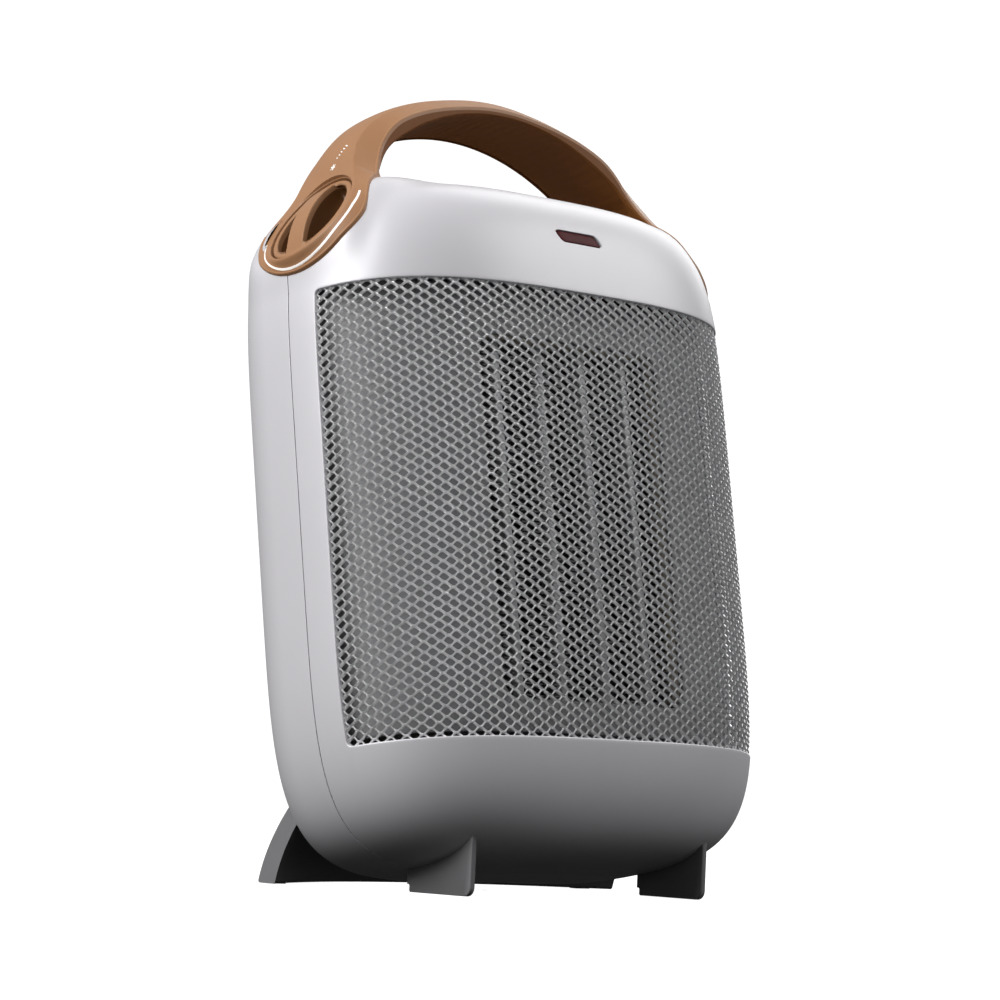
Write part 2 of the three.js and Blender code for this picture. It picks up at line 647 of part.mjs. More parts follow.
function rotarySwitch() {
  const { radius, top, bottom } = SWITCH_BODY;
  return controlRod(bottom, top, radius, 20)
    .subtract(controlRod(top - 10, top + 5, SPINDLE_RADIUS + GAP, 12));
}

// ---- indicator ----------------------------------------------------------------------------
function indicatorLens() {
  const half = LENS.height / 2 - GAP;
  const front = body(-LENS.inset);
  const rear = -FRONT_DEPTH + 4 + LENS.thickness;
  return roundedBlock(LENS.width / 2 - GAP, LENS.z - half, LENS.z + half, LENS.corner - GAP, -80, rear)
    .intersect(front);
}

const lampY = -56;
const lamp = () => rod(at(0, lampY, LENS.z), X, -8, 8, 2.5, 14);

function lampHolder() {
  return block([-12, lampY - 3.5, LENS.z - 5], [12, lampY + 7, LENS.z + 5])
    .subtract(rod(at(0, lampY, LENS.z), X, -20, 20, 2.5 + GAP, 14))
    .subtract(block([-20, lampY - 6, LENS.z - 1.8], [20, lampY, LENS.z + 1.8]));
}

// ---- feet ---------------------------------------------------------------------------------
// The leaning body in the floor's frame, with clearance around it.
const clearBodyOnFloor = clearBody.rotate([-THREE.MathUtils.radToDeg(LEAN), 0, 0])
  .translate([0, BODY_FOOT.y, BODY_FOOT.z]);

function frontFin(side) {
  const { front, rear, corner, step, top } = FIN;
  const shape = new THREE.Shape();
  shape.moveTo(front + corner, 0);
  shape.lineTo(rear, 0);
  shape.lineTo(rear, step.height);
  shape.lineTo(rear + step.depth, step.height);
  shape.lineTo(rear + step.depth, top);
  shape.lineTo(front, top);
  shape.lineTo(front, corner);
  shape.absarc(front + corner, corner, corner, Math.PI, Math.PI * 1.5);
  const inner = side * FIN.x - FIN.thickness / 2;
  return sideBlock(shape, inner, inner + FIN.thickness).subtract(clearBodyOnFloor);
}

// How far the foot's wall has leaned forward at a height above the floor.
const footLean = (z) => FOOT.lean * z + FOOT.curl * z * z;

const footFront = (x) =>
  THREE.MathUtils.lerp(FOOT.midFront, FOOT.tipFront, Math.abs(x / FOOT.halfWidth) ** FOOT.bend);

// A flared skirt that stands on its two ends and arches slightly clear of the floor between.
function rearFoot() {
  const rings = [];
  const steps = 16;
  for (let i = 0; i <= steps; i += 1) {
    const share = (2 * i) / steps - 1;
    const x = FOOT.halfWidth * share;
    const bottom = PAD.lift + FOOT.arch * (1 - share * share);
    const rim = THREE.MathUtils.lerp(FOOT.midRim, FOOT.rim, share * share);
    const front = footFront(x);
    const heights = [0, 1, 2, 3, 4].map((k) => THREE.MathUtils.lerp(bottom, FOOT.height, k / 4));
    const outer = heights.map((z) => at(x, front + rim - footLean(z), z));
    const inner = heights.map((z) => at(x, front - footLean(z), z)).reverse();
    rings.push([...outer, ...inner]);
  }
  let foot = loft(rings).subtract(clearBodyOnFloor);
  for (const side of [-1, 1]) foot = foot.subtract(padBlock(side, GAP));
  return foot;
}

function padBlock(side, margin) {
  const x = side * PAD.x;
  const y = footFront(PAD.x) + FOOT.rim / 2 - 0.4;
  const [halfX, halfY] = [PAD.width / 2 + margin, PAD.depth / 2 + margin];
  const bottom = margin > 0 ? -5 : 0;
  return block([x - halfX, y - halfY, bottom], [x + halfX, y + halfY, PAD.height + margin]);
}

// ---- tip-over switch, power inlet and terminals --------------------------------------------
const plungerRod = (from, to, radius, sides = 16) => rod(at(0, PLUNGER.y, 0), Z, from, to, radius, sides);

const tipPlunger = () => plungerRod(0.3, 24, PLUNGER.radius).add(plungerRod(16.5, 18, PLUNGER.collar));

function tipSwitch() {
  return block([-8, PLUNGER.y - 9, 19], [8, PLUNGER.y + 6, 32])
    .subtract(plungerRod(10, 26, PLUNGER.radius + GAP));
}

// The cord's bushing lies level, so that its bore runs straight out over the floor.
const glandRod = (from, to, radius, sides = 16) =>
  rod(fromWorld(GLAND.x, GLAND.y, GLAND.z), levelAxis, from, to, radius, sides);

const powerGland = () => glandRod(-8, 4, GLAND.flange, 20).subtract(clearBody)
  .add(glandRod(-11, 4, GLAND.barrel)).subtract(glandRod(-30, 30, GLAND.bore));

function terminalBlock() {
  let terminals = block([26, 6, 60], [60, 18, 72]);
  for (let k = 0; k < 3; k += 1) {
    terminals = terminals.subtract(rod(at(33 + 10 * k, 12, 0), Z, 66, 80, 2.6, 12));
  }
  return terminals;
}

// ---- assembly -----------------------------------------------------------------------------
const leaning = new THREE.Group();
const standing = new THREE.Group();

function add(group, name, solid, material) {
  const mesh = new THREE.Mesh(toGeometry(solid), material);
  mesh.name = name;
  group.add(mesh);
}

add(leaning, 'front_shell', frontShell(), pearl);
add(leaning, 'rear_shell', rearShell(), pearl);
add(leaning, 'front_grille', frontGrille(), silver);
add(leaning, 'outlet_panel', outletPanel(), greyPlastic);
add(leaning, 'heater_frame', heaterFrame(), mica);
for (let i = 0; i < HEATER.bars; i += 1) add(leaning, `heater_bar_${i + 1}`, heaterBar(i), aluminium);
for (let i = 0; i <= HEATER.bars; i += 1) add(leaning, `fin_pack_${i + 1}`, finPack(i), aluminium);
add(leaning, 'thermal_cutout', thermalCutout(), steel);

add(leaning, 'fan_duct', fanDuct(), blackPlastic);
add(leaning, 'fan_impeller', fanImpeller(), blackPlastic);
add(leaning, 'fan_nut', fanRod(FAN.front - 5, FAN.front - GAP, 4, 6)
  .subtract(fanRod(-60, 60, SHAFT_RADIUS + GAP, 12)), brass);
const shaftEnd = CORE.front + CORE.thickness + 9;
add(leaning, 'motor_shaft', fanRod(FAN.front - 4, shaftEnd, SHAFT_RADIUS, 12), steel);
add(leaning, 'motor_rotor', motorRotor(), aluminium);
add(leaning, 'motor_core', motorCore(), steel);
add(leaning, 'motor_coil', motorCoil(), copper);
const frontFace = CORE.front - GAP;
const rearFace = CORE.front + CORE.thickness + GAP;
add(leaning, 'motor_front_bracket', motorBracket(frontFace - 2, frontFace), steel);
add(leaning, 'motor_rear_bracket', motorBracket(rearFace, rearFace + 2), steel);
add(leaning, 'front_bearing', bearing(frontFace - 5, frontFace), brass);
add(leaning, 'rear_bearing', bearing(rearFace, rearFace + 5), brass);
add(leaning, 'motor_screw_left', motorScrew(-1), steel);
add(leaning, 'motor_screw_right', motorScrew(1), steel);
add(leaning, 'rear_grille', rearGrille(), pearl);

add(leaning, 'handle', handleStrap(), caramel);
add(leaning, 'handle_liner', handleLiner(), darkCaramel);
add(leaning, 'thermostat_knob', knob(), caramel);
add(leaning, 'selector_knob', mirrored(knob()), caramel);
add(leaning, 'thermostat_spindle', spindle(), brass);
add(leaning, 'selector_spindle', mirrored(spindle()), brass);
add(leaning, 'thermostat_body', rotarySwitch(), mica);
add(leaning, 'selector_body', mirrored(rotarySwitch()), blackPlastic);

add(leaning, 'indicator_lens', indicatorLens(), redLens);
add(leaning, 'indicator_lamp', lamp(), redLens);
add(leaning, 'indicator_holder', lampHolder(), blackPlastic);

for (const [side, name] of [[-1, 'left'], [1, 'right']]) {
  CASE_SCREW.rows.forEach((z, row) => {
    add(leaning, `case_screw_${row === 0 ? 'lower' : 'upper'}_${name}`, caseScrew(side, z), steel);
  });
  add(standing, `front_foot_${name}`, frontFin(side), greyPlastic);
  add(standing, `rear_pad_${name}`, padBlock(side, 0), rubber);
}
add(standing, 'rear_foot', rearFoot(), greyPlastic);
add(standing, 'tip_plunger', tipPlunger(), blackPlastic);
add(standing, 'tip_switch', tipSwitch(), blackPlastic);
add(leaning, 'power_gland', powerGland(), blackPlastic);
add(leaning, 'terminal_block', terminalBlock(), mica);

leaning.rotation.x = -LEAN;
leaning.position.set(0, BODY_FOOT.y, BODY_FOOT.z);

// The origin is on the floor, under the middle of the whole object.
const heater = new THREE.Group();
heater.add(leaning, standing);
const extent = new THREE.Box3().setFromObject(heater, true);
heater.position.y = -(extent.min.y + extent.max.y) / 2;
heater.position.z = -extent.min.z;

export default heater;
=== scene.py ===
# Ceramic space heater: the finished looks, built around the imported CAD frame.
# Body dimensions are millimetres in the leaning body's own upright frame (+Z up, front at -Y);
# to_row() leans them back into the row frame, in metres.
import math

import bmesh
import bpy
import numpy as np
from mathutils import Matrix, Vector


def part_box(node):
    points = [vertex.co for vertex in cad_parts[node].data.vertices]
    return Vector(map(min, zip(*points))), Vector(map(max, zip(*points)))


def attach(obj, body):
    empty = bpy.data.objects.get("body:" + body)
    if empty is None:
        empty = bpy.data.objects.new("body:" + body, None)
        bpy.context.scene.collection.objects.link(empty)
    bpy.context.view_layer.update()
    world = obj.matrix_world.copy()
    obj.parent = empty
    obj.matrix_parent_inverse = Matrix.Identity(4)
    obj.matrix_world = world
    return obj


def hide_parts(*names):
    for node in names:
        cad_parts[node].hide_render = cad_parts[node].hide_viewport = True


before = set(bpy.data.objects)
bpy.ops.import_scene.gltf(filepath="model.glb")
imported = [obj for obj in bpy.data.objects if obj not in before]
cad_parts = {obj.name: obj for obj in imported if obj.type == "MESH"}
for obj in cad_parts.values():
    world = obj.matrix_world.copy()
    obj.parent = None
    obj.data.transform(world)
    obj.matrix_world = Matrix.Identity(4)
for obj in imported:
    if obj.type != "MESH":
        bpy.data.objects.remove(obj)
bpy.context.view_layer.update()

# ---- dimensions, the same as the CAD model's ------------------------------------------------
MM = 0.001
LEAN = math.radians(10.18)
BODY_FOOT_Y, BODY_FOOT_Z = -5.36, 4.62
FIN_FRONT = -51.5
SHIFT_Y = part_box("front_foot_left")[0].y / MM - FIN_FRONT      # floor frame to row frame

HALF_WIDTH, FRONT_DEPTH, REAR_DEPTH, HALF_HEIGHT = 100.0, 70.4, 55.0, 127.6
FRONT_PLAN, REAR_PLAN = 3.05, 1.95
TOP_ROUND, BOTTOM_ROUND, REAR_TOP_ROUND, REAR_BOTTOM_ROUND = 6.37, 5.28, 3.5, 3.0
CENTRE = np.array([0.0, 0.0, HALF_HEIGHT])
SEAM_Y, SEAM_HALF_GAP = -14.5, 0.2
OPEN_BOTTOM, OPEN_TOP, OPEN_SIDE_Y, OPEN_CORNER = 42.0, 209.6, -28.0, 2.0
FAN_Z = 125.0
INTAKE_W, INTAKE_H, INTAKE_CORNER = 92.0, 108.0, 18.0
WINDOW_HALF, WINDOW_BOTTOM, WINDOW_TOP, WINDOW_CORNER = 45.3, 56.6, 193.8, 8.0
PANEL_HALF, PANEL_DEPTH = 93.0, 58.5

CONTROL = np.array([-88.6, -18.0, 241.1])
TILT = math.radians(36.3)
AXIS = np.array([-math.cos(TILT), 0.0, math.sin(TILT)])
UP = np.array([math.sin(TILT), 0.0, math.cos(TILT)])
BACK = np.array([0.0, 1.0, 0.0])
CUP_R, CUP_DEPTH, SPINDLE_HOLE = 20.2, 10.5, 3.4
KNOB_R, KNOB_TOP, KNOB_BOTTOM, KNOB_ROUND, POCKET_R = 19.6, -0.5, -9.8, 0.9, 17.2
GRIP_W, GRIP_RISE, GRIP_TURN = 9.0, 4.2, math.radians(5)
STRAP_R, STRAP_FRONT, STRAP_REAR, STRAP_T = 96.0, -30.0, 4.0, 4.5
STRAP_CROWN, CROWN_FADE, CROWN_END = 4.5, 58.0, 98.0
LENS_W, LENS_H, LENS_Z, LENS_CORNER, LENS_SLANT = 21.0, 4.9, 232.0, 1.6, 0.62
SCREW_X, SCREW_ROWS, SCREW_SEAT = 80.0, (50.0, 190.0), -11.0
WELL_MOUTH, WELL_R = 3.9, 3.6
GLAND = (55.0, 42.0, 36.0)
PLUNGER_Y = 26.0


def to_row(points):
    """The body's own frame to the row frame."""
    p = np.asarray(points, float)
    x, y, z = p[..., 0], p[..., 1], p[..., 2]
    c, s = math.cos(LEAN), math.sin(LEAN)
    return np.stack([x, SHIFT_Y + BODY_FOOT_Y + y * c + z * s, BODY_FOOT_Z + z * c - y * s], -1) * MM


def floor_to_row(points):
    """The floor frame, upright under the body, to the row frame."""
    return (np.asarray(points, float) + np.array([0.0, SHIFT_Y, 0.0])) * MM


def from_floor(points):
    """Floor-frame millimetres to the body's own frame."""
    p = np.asarray(points, float)
    dy, dz = p[..., 1] - BODY_FOOT_Y, p[..., 2] - BODY_FOOT_Z
    c, s = math.cos(LEAN), math.sin(LEAN)
    return np.stack([p[..., 0], dy * c - dz * s, dy * s + dz * c], -1)


def smoothstep(x, low, high):
    t = np.clip((np.asarray(x, float) - low) / (high - low), 0, 1)
    return t * t * (3 - 2 * t)


def unit(v):
    return v / np.maximum(np.linalg.norm(v, axis=-1, keepdims=True), 1e-12)


# ---- body surface ---------------------------------------------------------------------------
SHOULDER_STEP, SHOULDER_RISE = 1.4, 3.9


def shoulder_rise(points):
    """How far the capsule swells out near a round lobe, measured against the lobe's flat face."""
    offset = np.stack([np.abs(points[..., 0]), points[..., 1], points[..., 2]], -1) - CONTROL * [-1, 1, 1]
    height = offset @ (AXIS * [-1, 1, 1])
    away = np.sqrt((np.sum(offset ** 2, -1) - height ** 2).clip(0))
    drop = (-SHOULDER_STEP - height).clip(0)
    return (SHOULDER_RISE * np.tanh(drop / SHOULDER_RISE) * (1 - smoothstep(away, 22, 50))
            * smoothstep(points[..., 2], 210, 234) * smoothstep(points[..., 1], -48, -38))


def level(points, grow=0.0):
    """1 on the body's surface, and in proportion along every line from its centre."""
    plain = capsule_level(points, grow)
    offset = np.asarray(points, float) - CENTRE
    surface = CENTRE + offset / capsule_level(points, 0.0)[..., None]
    reach = np.linalg.norm(surface - CENTRE, axis=-1)
    return plain / (1 + shoulder_rise(surface) / reach)


def capsule_level(points, grow):
    """The same for the plain capsule, without the swollen shoulders. grow moves its surface outwards."""
    q = np.asarray(points, float) - CENTRE
    front = q[..., 1] < 0
    depth = np.where(front, FRONT_DEPTH, REAR_DEPTH) + grow
    x = np.abs(q[..., 0]) / (HALF_WIDTH + grow) + 1e-9
    y = np.abs(q[..., 1]) / depth + 1e-9
    z = np.abs(q[..., 2]) / (HALF_HEIGHT + grow) + 1e-9
    n = np.where(front, FRONT_PLAN, REAR_PLAN)
    flat = (x ** n + y ** n) ** (1 / n)
    turn = np.degrees(np.arctan2(y ** (n / 2), x ** (n / 2)))
    blend = np.where(front, 0.0, smoothstep(turn, 15, 75))
    above = q[..., 2] > 0
    side = np.where(above, TOP_ROUND, BOTTOM_ROUND)
    rear = np.where(above, REAR_TOP_ROUND, REAR_BOTTOM_ROUND)
    e = side + (rear - side) * blend
    return (flat ** e + z ** e) ** (1 / e)


def project(points, grow=0.0):
    """Points moved along their line from the centre on to the surface."""
    p = np.asarray(points, float)
    return CENTRE + (p - CENTRE) / level(p, grow)[..., None]


def normal(points):
    p = np.asarray(points, float)
    step = 0.05
    slopes = [level(p + step * axis) - level(p - step * axis) for axis in np.eye(3)]
    return unit(np.stack(slopes, -1))


def cast(start, direction, far):
    """First crossing of the surface along a line that starts outside it."""
    start = np.asarray(start, float)
    direction = np.broadcast_to(unit(np.asarray(direction, float)), start.shape)
    low, high = np.zeros(start.shape[:-1]), np.full(start.shape[:-1], float(far))
    for _ in range(45):
        mid = (low + high) / 2
        outside = level(start + direction * mid[..., None]) > 1
        low, high = np.where(outside, mid, low), np.where(outside, high, mid)
    return start + direction * ((low + high) / 2)[..., None]


def plan_table(half, depth, n, count=6001):
    """Arc length along the plan outline's front half, from the middle of the front to the right side."""
    angle = np.linspace(-math.pi / 2, 0, count)
    x = half * np.cos(angle).clip(0) ** (2 / n)
    y = -depth * np.abs(np.sin(angle)) ** (2 / n)
    length = np.concatenate([[0], np.cumsum(np.hypot(np.diff(x), np.diff(y)))])
    return length, x, y


def plan_point(s, table):
    """x and y at arc length s round the plan outline."""
    length, x, y = table
    far = np.abs(s)
    return np.sign(s) * np.interp(far, length, x), np.interp(far, length, y)


def reach_at(z, grow=0.0):
    """The body's width at height z, as a share of its widest."""
    e = np.where(z > HALF_HEIGHT, TOP_ROUND, BOTTOM_ROUND)
    return (1 - np.abs((z - HALF_HEIGHT) / (HALF_HEIGHT + grow)) ** e) ** (1 / e)


def wall_point(s, z, grow, table):
    """A point of the front wall at arc length s round the plan and height z."""
    x, y = plan_point(s, table)
    reach = reach_at(z, grow)
    return np.stack(np.broadcast_arrays(x * reach, y * reach, z), -1)


# ---- mesh building --------------------------------------------------------------------------
class Sheet:
    """Points and faces of one piece, joined from grids and rings."""

    def __init__(self):
        self.points, self.faces, self.count = [], [], 0

    def add(self, points):
        flat = np.asarray(points, float).reshape(-1, 3)
        ids = np.arange(self.count, self.count + len(flat)).reshape(np.shape(points)[:-1])
        self.points.append(flat)
        self.count += len(flat)
        return ids

    def quads(self, ids, closed=False, skip=None):
        """Quads between the rows of an index grid; closed joins the last column to the first."""
        if closed:
            ids = np.concatenate([ids, ids[:, :1]], 1)
        a, b, c, d = ids[:-1, :-1], ids[:-1, 1:], ids[1:, 1:], ids[1:, :-1]
        faces = np.stack([a, b, c, d], -1)
        if skip is not None:
            faces = faces[~skip]
        self.faces.extend(faces.reshape(-1, 4).tolist())

    def fan(self, ring, centre):
        hub = int(self.add(np.asarray(centre, float)[None])[0])
        for a, b in zip(ring, np.roll(ring, -1)):
            self.faces.append([int(a), int(b), hub])

    def merged(self):
        return np.concatenate(self.points)


def make(name, sheet, material, body, standing=False, replaces=(), sharp=40, merge=1e-3, flat=False):
    """Turns a sheet into a piece that rides on a body. A standing piece's points are in the floor frame."""
    points = sheet.merged()
    points = floor_to_row(points) if standing else to_row(points)
    mesh = bpy.data.meshes.new(name)
    mesh.from_pydata(points.tolist(), [], sheet.faces)
    bm = bmesh.new()
    bm.from_mesh(mesh)
    bmesh.ops.remove_doubles(bm, verts=bm.verts, dist=merge * MM)
    bmesh.ops.delete(bm, geom=[f for f in bm.faces if f.calc_area() < 1e-13], context="FACES_ONLY")
    bmesh.ops.delete(bm, geom=[v for v in bm.verts if not v.link_faces], context="VERTS")
    bmesh.ops.recalc_face_normals(bm, faces=bm.faces)
    bm.to_mesh(mesh)
    bm.free()
    return dress(name, mesh, material, body, replaces, sharp, flat)


def dress(name, mesh, material, body, replaces=(), sharp=40, flat=False):
    mesh.materials.clear()
    mesh.materials.append(material)
    mesh.polygons.foreach_set("use_smooth", [not flat] * len(mesh.polygons))
    if not flat:
        mesh.set_sharp_from_angle(angle=math.radians(sharp))
    piece = bpy.data.objects.new(name, mesh)
    bpy.context.scene.collection.objects.link(piece)
    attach(piece, body)
    if replaces:
        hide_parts(*replaces)
    return piece


def edge_rings(points, inward, out, radius, depth, back, steps=4):
    """Rings that roll a wall's edge over, turn it in by depth, and bring it back behind itself."""
    rings = []
    for k in range(1, steps + 1):
        a = math.pi / 2 * k / steps
        rings.append(points - inward * radius * (1 - math.sin(a)) - out * radius * (1 - math.cos(a)))
    rings.append(points - out * depth)
    rings.append(points - inward * back - out * depth)
    return rings


def loop_sides(points, out, towards):
    """Unit directions in the surface, square to a closed loop, that point towards a side."""
    along = unit(np.roll(points, -1, 0) - np.roll(points, 1, 0))
    across = unit(np.cross(out, along))
    flip = np.sign(np.sum(across * towards, -1, keepdims=True))
    flip[flip == 0] = 1
    return across * flip


def loop_length(loop):
    """Distance along a closed loop, ending back at its first point."""
    steps = np.linalg.norm(np.diff(np.concatenate([loop, loop[:1]]), axis=0), axis=1)
    return np.concatenate([[0], np.cumsum(steps)])


def resample(loop, shares):
    """Points of a closed loop at shares of its length."""
    length, closed = loop_length(loop), np.concatenate([loop, loop[:1]])
    return np.stack([np.interp(shares % 1.0, length / length[-1], closed[:, k]) for k in range(3)], -1)


def block_border(r0, c0, r1, c1):
    """Rows and columns of the grid points round a block of cells, once round."""
    border = ([(r0, c) for c in range(c0, c1)] + [(r, c1) for r in range(r0, r1)]
              + [(r1, c) for c in range(c1, c0, -1)] + [(r, c0) for r in range(r1, r0, -1)])
    return np.array(border).T


def punch(sheet, grid, ids, loop, lift, out_of, rings=6, room=1.25, fillet=0.4, depth=2.0, window=None):
    """Opens a hole in a grid: the grid cells round the loop give way to rings that run to the loop.
    Returns the mask of the grid cells left out and the loop's last ring of indices and points."""
    centre = loop.mean(0)
    reach = np.linalg.norm(loop - centre, axis=1).max() * room
    near = np.argwhere(np.linalg.norm(grid - centre, axis=2) < reach)
    (r0, c0), (r1, c1) = near.min(0) - 1, near.max(0) + 1
    if window:
        r0, c0, r1, c1 = window
    rows, cols = block_border(r0, c0, r1, c1)
    outer = grid[rows, cols]
    up = out_of(centre[None])[0]
    right = unit(np.cross(up, [0.3, 0.2, 1.0]))
    top = np.cross(up, right)

    def flat(p):
        return np.arctan2((p - centre) @ top, (p - centre) @ right)

    def turn(p):
        return np.sum(np.diff(np.unwrap(flat(np.concatenate([p, p[:1]])))))

    if turn(outer) * turn(loop) < 0:
        loop = loop[::-1]
    start = np.argmin(np.abs(np.angle(np.exp(1j * (flat(loop) - flat(outer)[0])))))
    loop = np.roll(loop, -start, 0)
    length = loop_length(outer)
    inner = resample(loop, length[:-1] / length[-1])
    out = out_of(inner)
    inward = loop_sides(inner, out, centre - inner)
    edge = inner - inward * fillet
    strip = [ids[rows, cols]]
    for k in range(1, rings):
        t = k / rings
        strip.append(sheet.add(lift(outer * (1 - t) + edge * t)))
    strip.append(sheet.add(lift(edge)))
    for ring in edge_rings(inner, inward, out, fillet, depth, 0.0):
        strip.append(sheet.add(ring))
    sheet.quads(np.array(strip), closed=True)
    skip = np.zeros((grid.shape[0] - 1, grid.shape[1] - 1), bool)
    skip[r0:r1, c0:c1] = True
    return skip, strip[-1], inner - out * depth


def rounded_rectangle(half_w, low, high, corner, per_corner=10, step=1.0):
    """Closed loop of (x, z) points, anticlockwise from the lower right corner's start."""
    points = []
    for cx, cz, start in ((half_w - corner, low + corner, -90), (half_w - corner, high - corner, 0),
                          (-half_w + corner, high - corner, 90), (-half_w + corner, low + corner, 180)):
        for k in range(per_corner + 1):
            a = math.radians(start + 90 * k / per_corner)
            points.append((cx + corner * math.cos(a), cz + corner * math.sin(a)))
    points = np.array(points)
    dense = []
    for a, b in zip(points, np.roll(points, -1, 0)):
        pieces = max(1, int(np.hypot(*(b - a)) / step))
        dense.extend(a + (b - a) * k / pieces for k in range(pieces))
    return np.array(dense)


# ---- materials ------------------------------------------------------------------------------
def node_material(name, color, rough, metallic=0.0, coat=0.0, coat_rough=0.15, mottle=0.05, mottle_mm=14.0,
                  rough_vary=0.06, grain=0.15, grain_mm=0.35, grain_depth=0.01, specular=0.5):
    """A procedural finish: colour that varies softly, roughness that varies, and a fine bump."""
    m = bpy.data.materials.new(name)
    m.use_nodes = True
    nodes, links = m.node_tree.nodes, m.node_tree.links
    shader = nodes["Principled BSDF"]
    shader.inputs["Metallic"].default_value = metallic
    shader.inputs["Coat Weight"].default_value = coat
    shader.inputs["Coat Roughness"].default_value = coat_rough
    shader.inputs["Specular IOR Level"].default_value = specular
    place = nodes.new("ShaderNodeTexCoord")

    def noise(size_mm, detail):
        n = nodes.new("ShaderNodeTexNoise")
        n.inputs["Scale"].default_value = 1000.0 / size_mm
        n.inputs["Detail"].default_value = detail
        links.new(place.outputs["Object"], n.inputs["Vector"])
        return n

    broad = noise(mottle_mm, 3)
    tint = nodes.new("ShaderNodeMix")
    tint.data_type = "RGBA"
    tint.inputs["A"].default_value = (*[c * (1 - mottle) for c in color], 1)
    tint.inputs["B"].default_value = (*[min(1, c * (1 + mottle)) for c in color], 1)
    links.new(broad.outputs["Fac"], tint.inputs["Factor"])
    links.new(tint.outputs["Result"], shader.inputs["Base Color"])
    gloss = nodes.new("ShaderNodeMapRange")
    gloss.inputs["To Min"].default_value = max(0.02, rough - rough_vary)
    gloss.inputs["To Max"].default_value = min(1.0, rough + rough_vary)
    links.new(noise(mottle_mm / 4, 4).outputs["Fac"], gloss.inputs["Value"])
    links.new(gloss.outputs["Result"], shader.inputs["Roughness"])
    bump = nodes.new("ShaderNodeBump")
    bump.inputs["Strength"].default_value = grain
    bump.inputs["Distance"].default_value = grain_depth * MM
    links.new(noise(grain_mm, 2).outputs["Fac"], bump.inputs["Height"])
    links.new(bump.outputs["Normal"], shader.inputs["Normal"])
    return m


pearl = node_material("pearl", (0.54, 0.53, 0.55), 0.42, metallic=0.12, coat=0.12, coat_rough=0.3,
                      mottle=0.02, mottle_mm=30, rough_vary=0.03, grain=0.12, grain_mm=0.25,
                      grain_depth=0.006)
silver = node_material("silver_mesh", (0.95, 0.95, 0.96), 0.3, metallic=0.5, mottle=0.06, mottle_mm=6,
                       grain=0.2)
panel_grey = node_material("grey_panel", (0.18, 0.18, 0.185), 0.5, mottle=0.08, mottle_mm=10, grain=0.3)
caramel = node_material("caramel", (0.29, 0.148, 0.072), 0.45, coat=0.04, coat_rough=0.35, mottle=0.06,
                        mottle_mm=9, grain=0.25, grain_mm=0.3, specular=0.22)
# Darker brown: the liner pad's own colour, and on the strap's own underside painted shade under the handle.
liner_and_underside_shade = node_material("liner_and_underside_shade", (0.15, 0.052, 0.010), 0.55, mottle=0.1, mottle_mm=12, grain=0.3,
                            specular=0.15)
# A darker copy of the caramel for the knobs' finger scoops: painted shade in the recesses.
scoop_shade_brown = node_material("scoop_shade_brown", (0.085, 0.034, 0.010), 0.35, mottle=0.1, mottle_mm=6, grain=0.25,
                           grain_mm=0.3, specular=0.35)
mica = node_material("mica", (0.62, 0.56, 0.46), 0.6, mottle=0.14, mottle_mm=5, coat=0.2, grain=0.4)
aluminium = node_material("aluminium", (0.62, 0.62, 0.63), 0.38, metallic=1.0, mottle=0.08, mottle_mm=5,
                          grain=0.4)
# Heater bars dimmed below their own metal: painted shade for the element lying behind the mesh.
bar_metal_shaded = node_material("bar_metal_shaded", (0.36, 0.36, 0.37), 0.5, metallic=0.4, mottle=0.1, mottle_mm=5,
                          grain=0.4)
# Aluminium fin blades made near-black: painted shade for the fins lying behind the mesh.
fin_metal_shaded = node_material("fin_metal_shaded", (0.13, 0.13, 0.135), 0.5, metallic=0.5, mottle=0.2, mottle_mm=6,
                          grain=0.4)
steel = node_material("plated_steel", (0.5, 0.5, 0.52), 0.35, metallic=1.0, mottle=0.1, mottle_mm=4,
                      grain=0.35)
core_steel = node_material("core_steel", (0.2, 0.2, 0.21), 0.5, metallic=0.9, mottle=0.3, mottle_mm=2,
                           grain=0.5)
coil_tape = node_material("coil_tape", (0.6, 0.36, 0.06), 0.35, mottle=0.15, mottle_mm=4, coat=0.4, grain=0.3)
brass = node_material("brass", (0.68, 0.48, 0.2), 0.32, metallic=1.0, mottle=0.08, mottle_mm=4, grain=0.25)
foot_grey = node_material("foot_grey", (0.17, 0.17, 0.175), 0.45, mottle=0.05, mottle_mm=8, grain=0.3,
                          grain_mm=0.3)
# The real black parts' own colour; laid in the casing seam it is painted shade.
black = node_material("black_plastic", (0.018, 0.018, 0.019), 0.5, mottle=0.15, mottle_mm=6, grain=0.5,
                      grain_mm=0.4)
rubber = node_material("foot_rubber", (0.02, 0.02, 0.02), 0.8, mottle=0.2, mottle_mm=3, grain=0.8,
                       grain_mm=0.3)
red_lens = node_material("red_lens", (0.062, 0.004, 0.005), 0.42, coat=0.02, coat_rough=0.2, mottle=0.3,
                         mottle_mm=2.5, rough_vary=0.05, grain=0.3, grain_mm=1.2, specular=0.08)
lamp_glass = node_material("lamp_glass", (0.8, 0.35, 0.2), 0.12, mottle=0.15, mottle_mm=3, coat=0.5)
white_print = node_material("white_print", (0.86, 0.82, 0.78), 0.4, mottle=0.04, mottle_mm=4, grain=0.1)

CARRIED = (
    (aluminium, ("motor_rotor",)),
    (steel, ("thermal_cutout", "motor_shaft", "motor_front_bracket", "motor_rear_bracket",
             "motor_screw_left", "motor_screw_right")),
    (core_steel, ("motor_core",)),
    (coil_tape, ("motor_coil",)),
    (brass, ("fan_nut", "front_bearing", "rear_bearing", "thermostat_spindle", "selector_spindle")),
    (mica, ("heater_frame", "thermostat_body", "terminal_block")),
    (black, ("fan_duct", "selector_body", "indicator_holder", "tip_switch", "tip_plunger", "fan_impeller")),
    (lamp_glass, ("indicator_lamp",)),
    (rubber, ("rear_pad_left", "rear_pad_right")),
)
for finish, names in CARRIED:
    for node_name in names:
        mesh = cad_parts[node_name].data
        mesh.materials.clear()
        mesh.materials.append(finish)


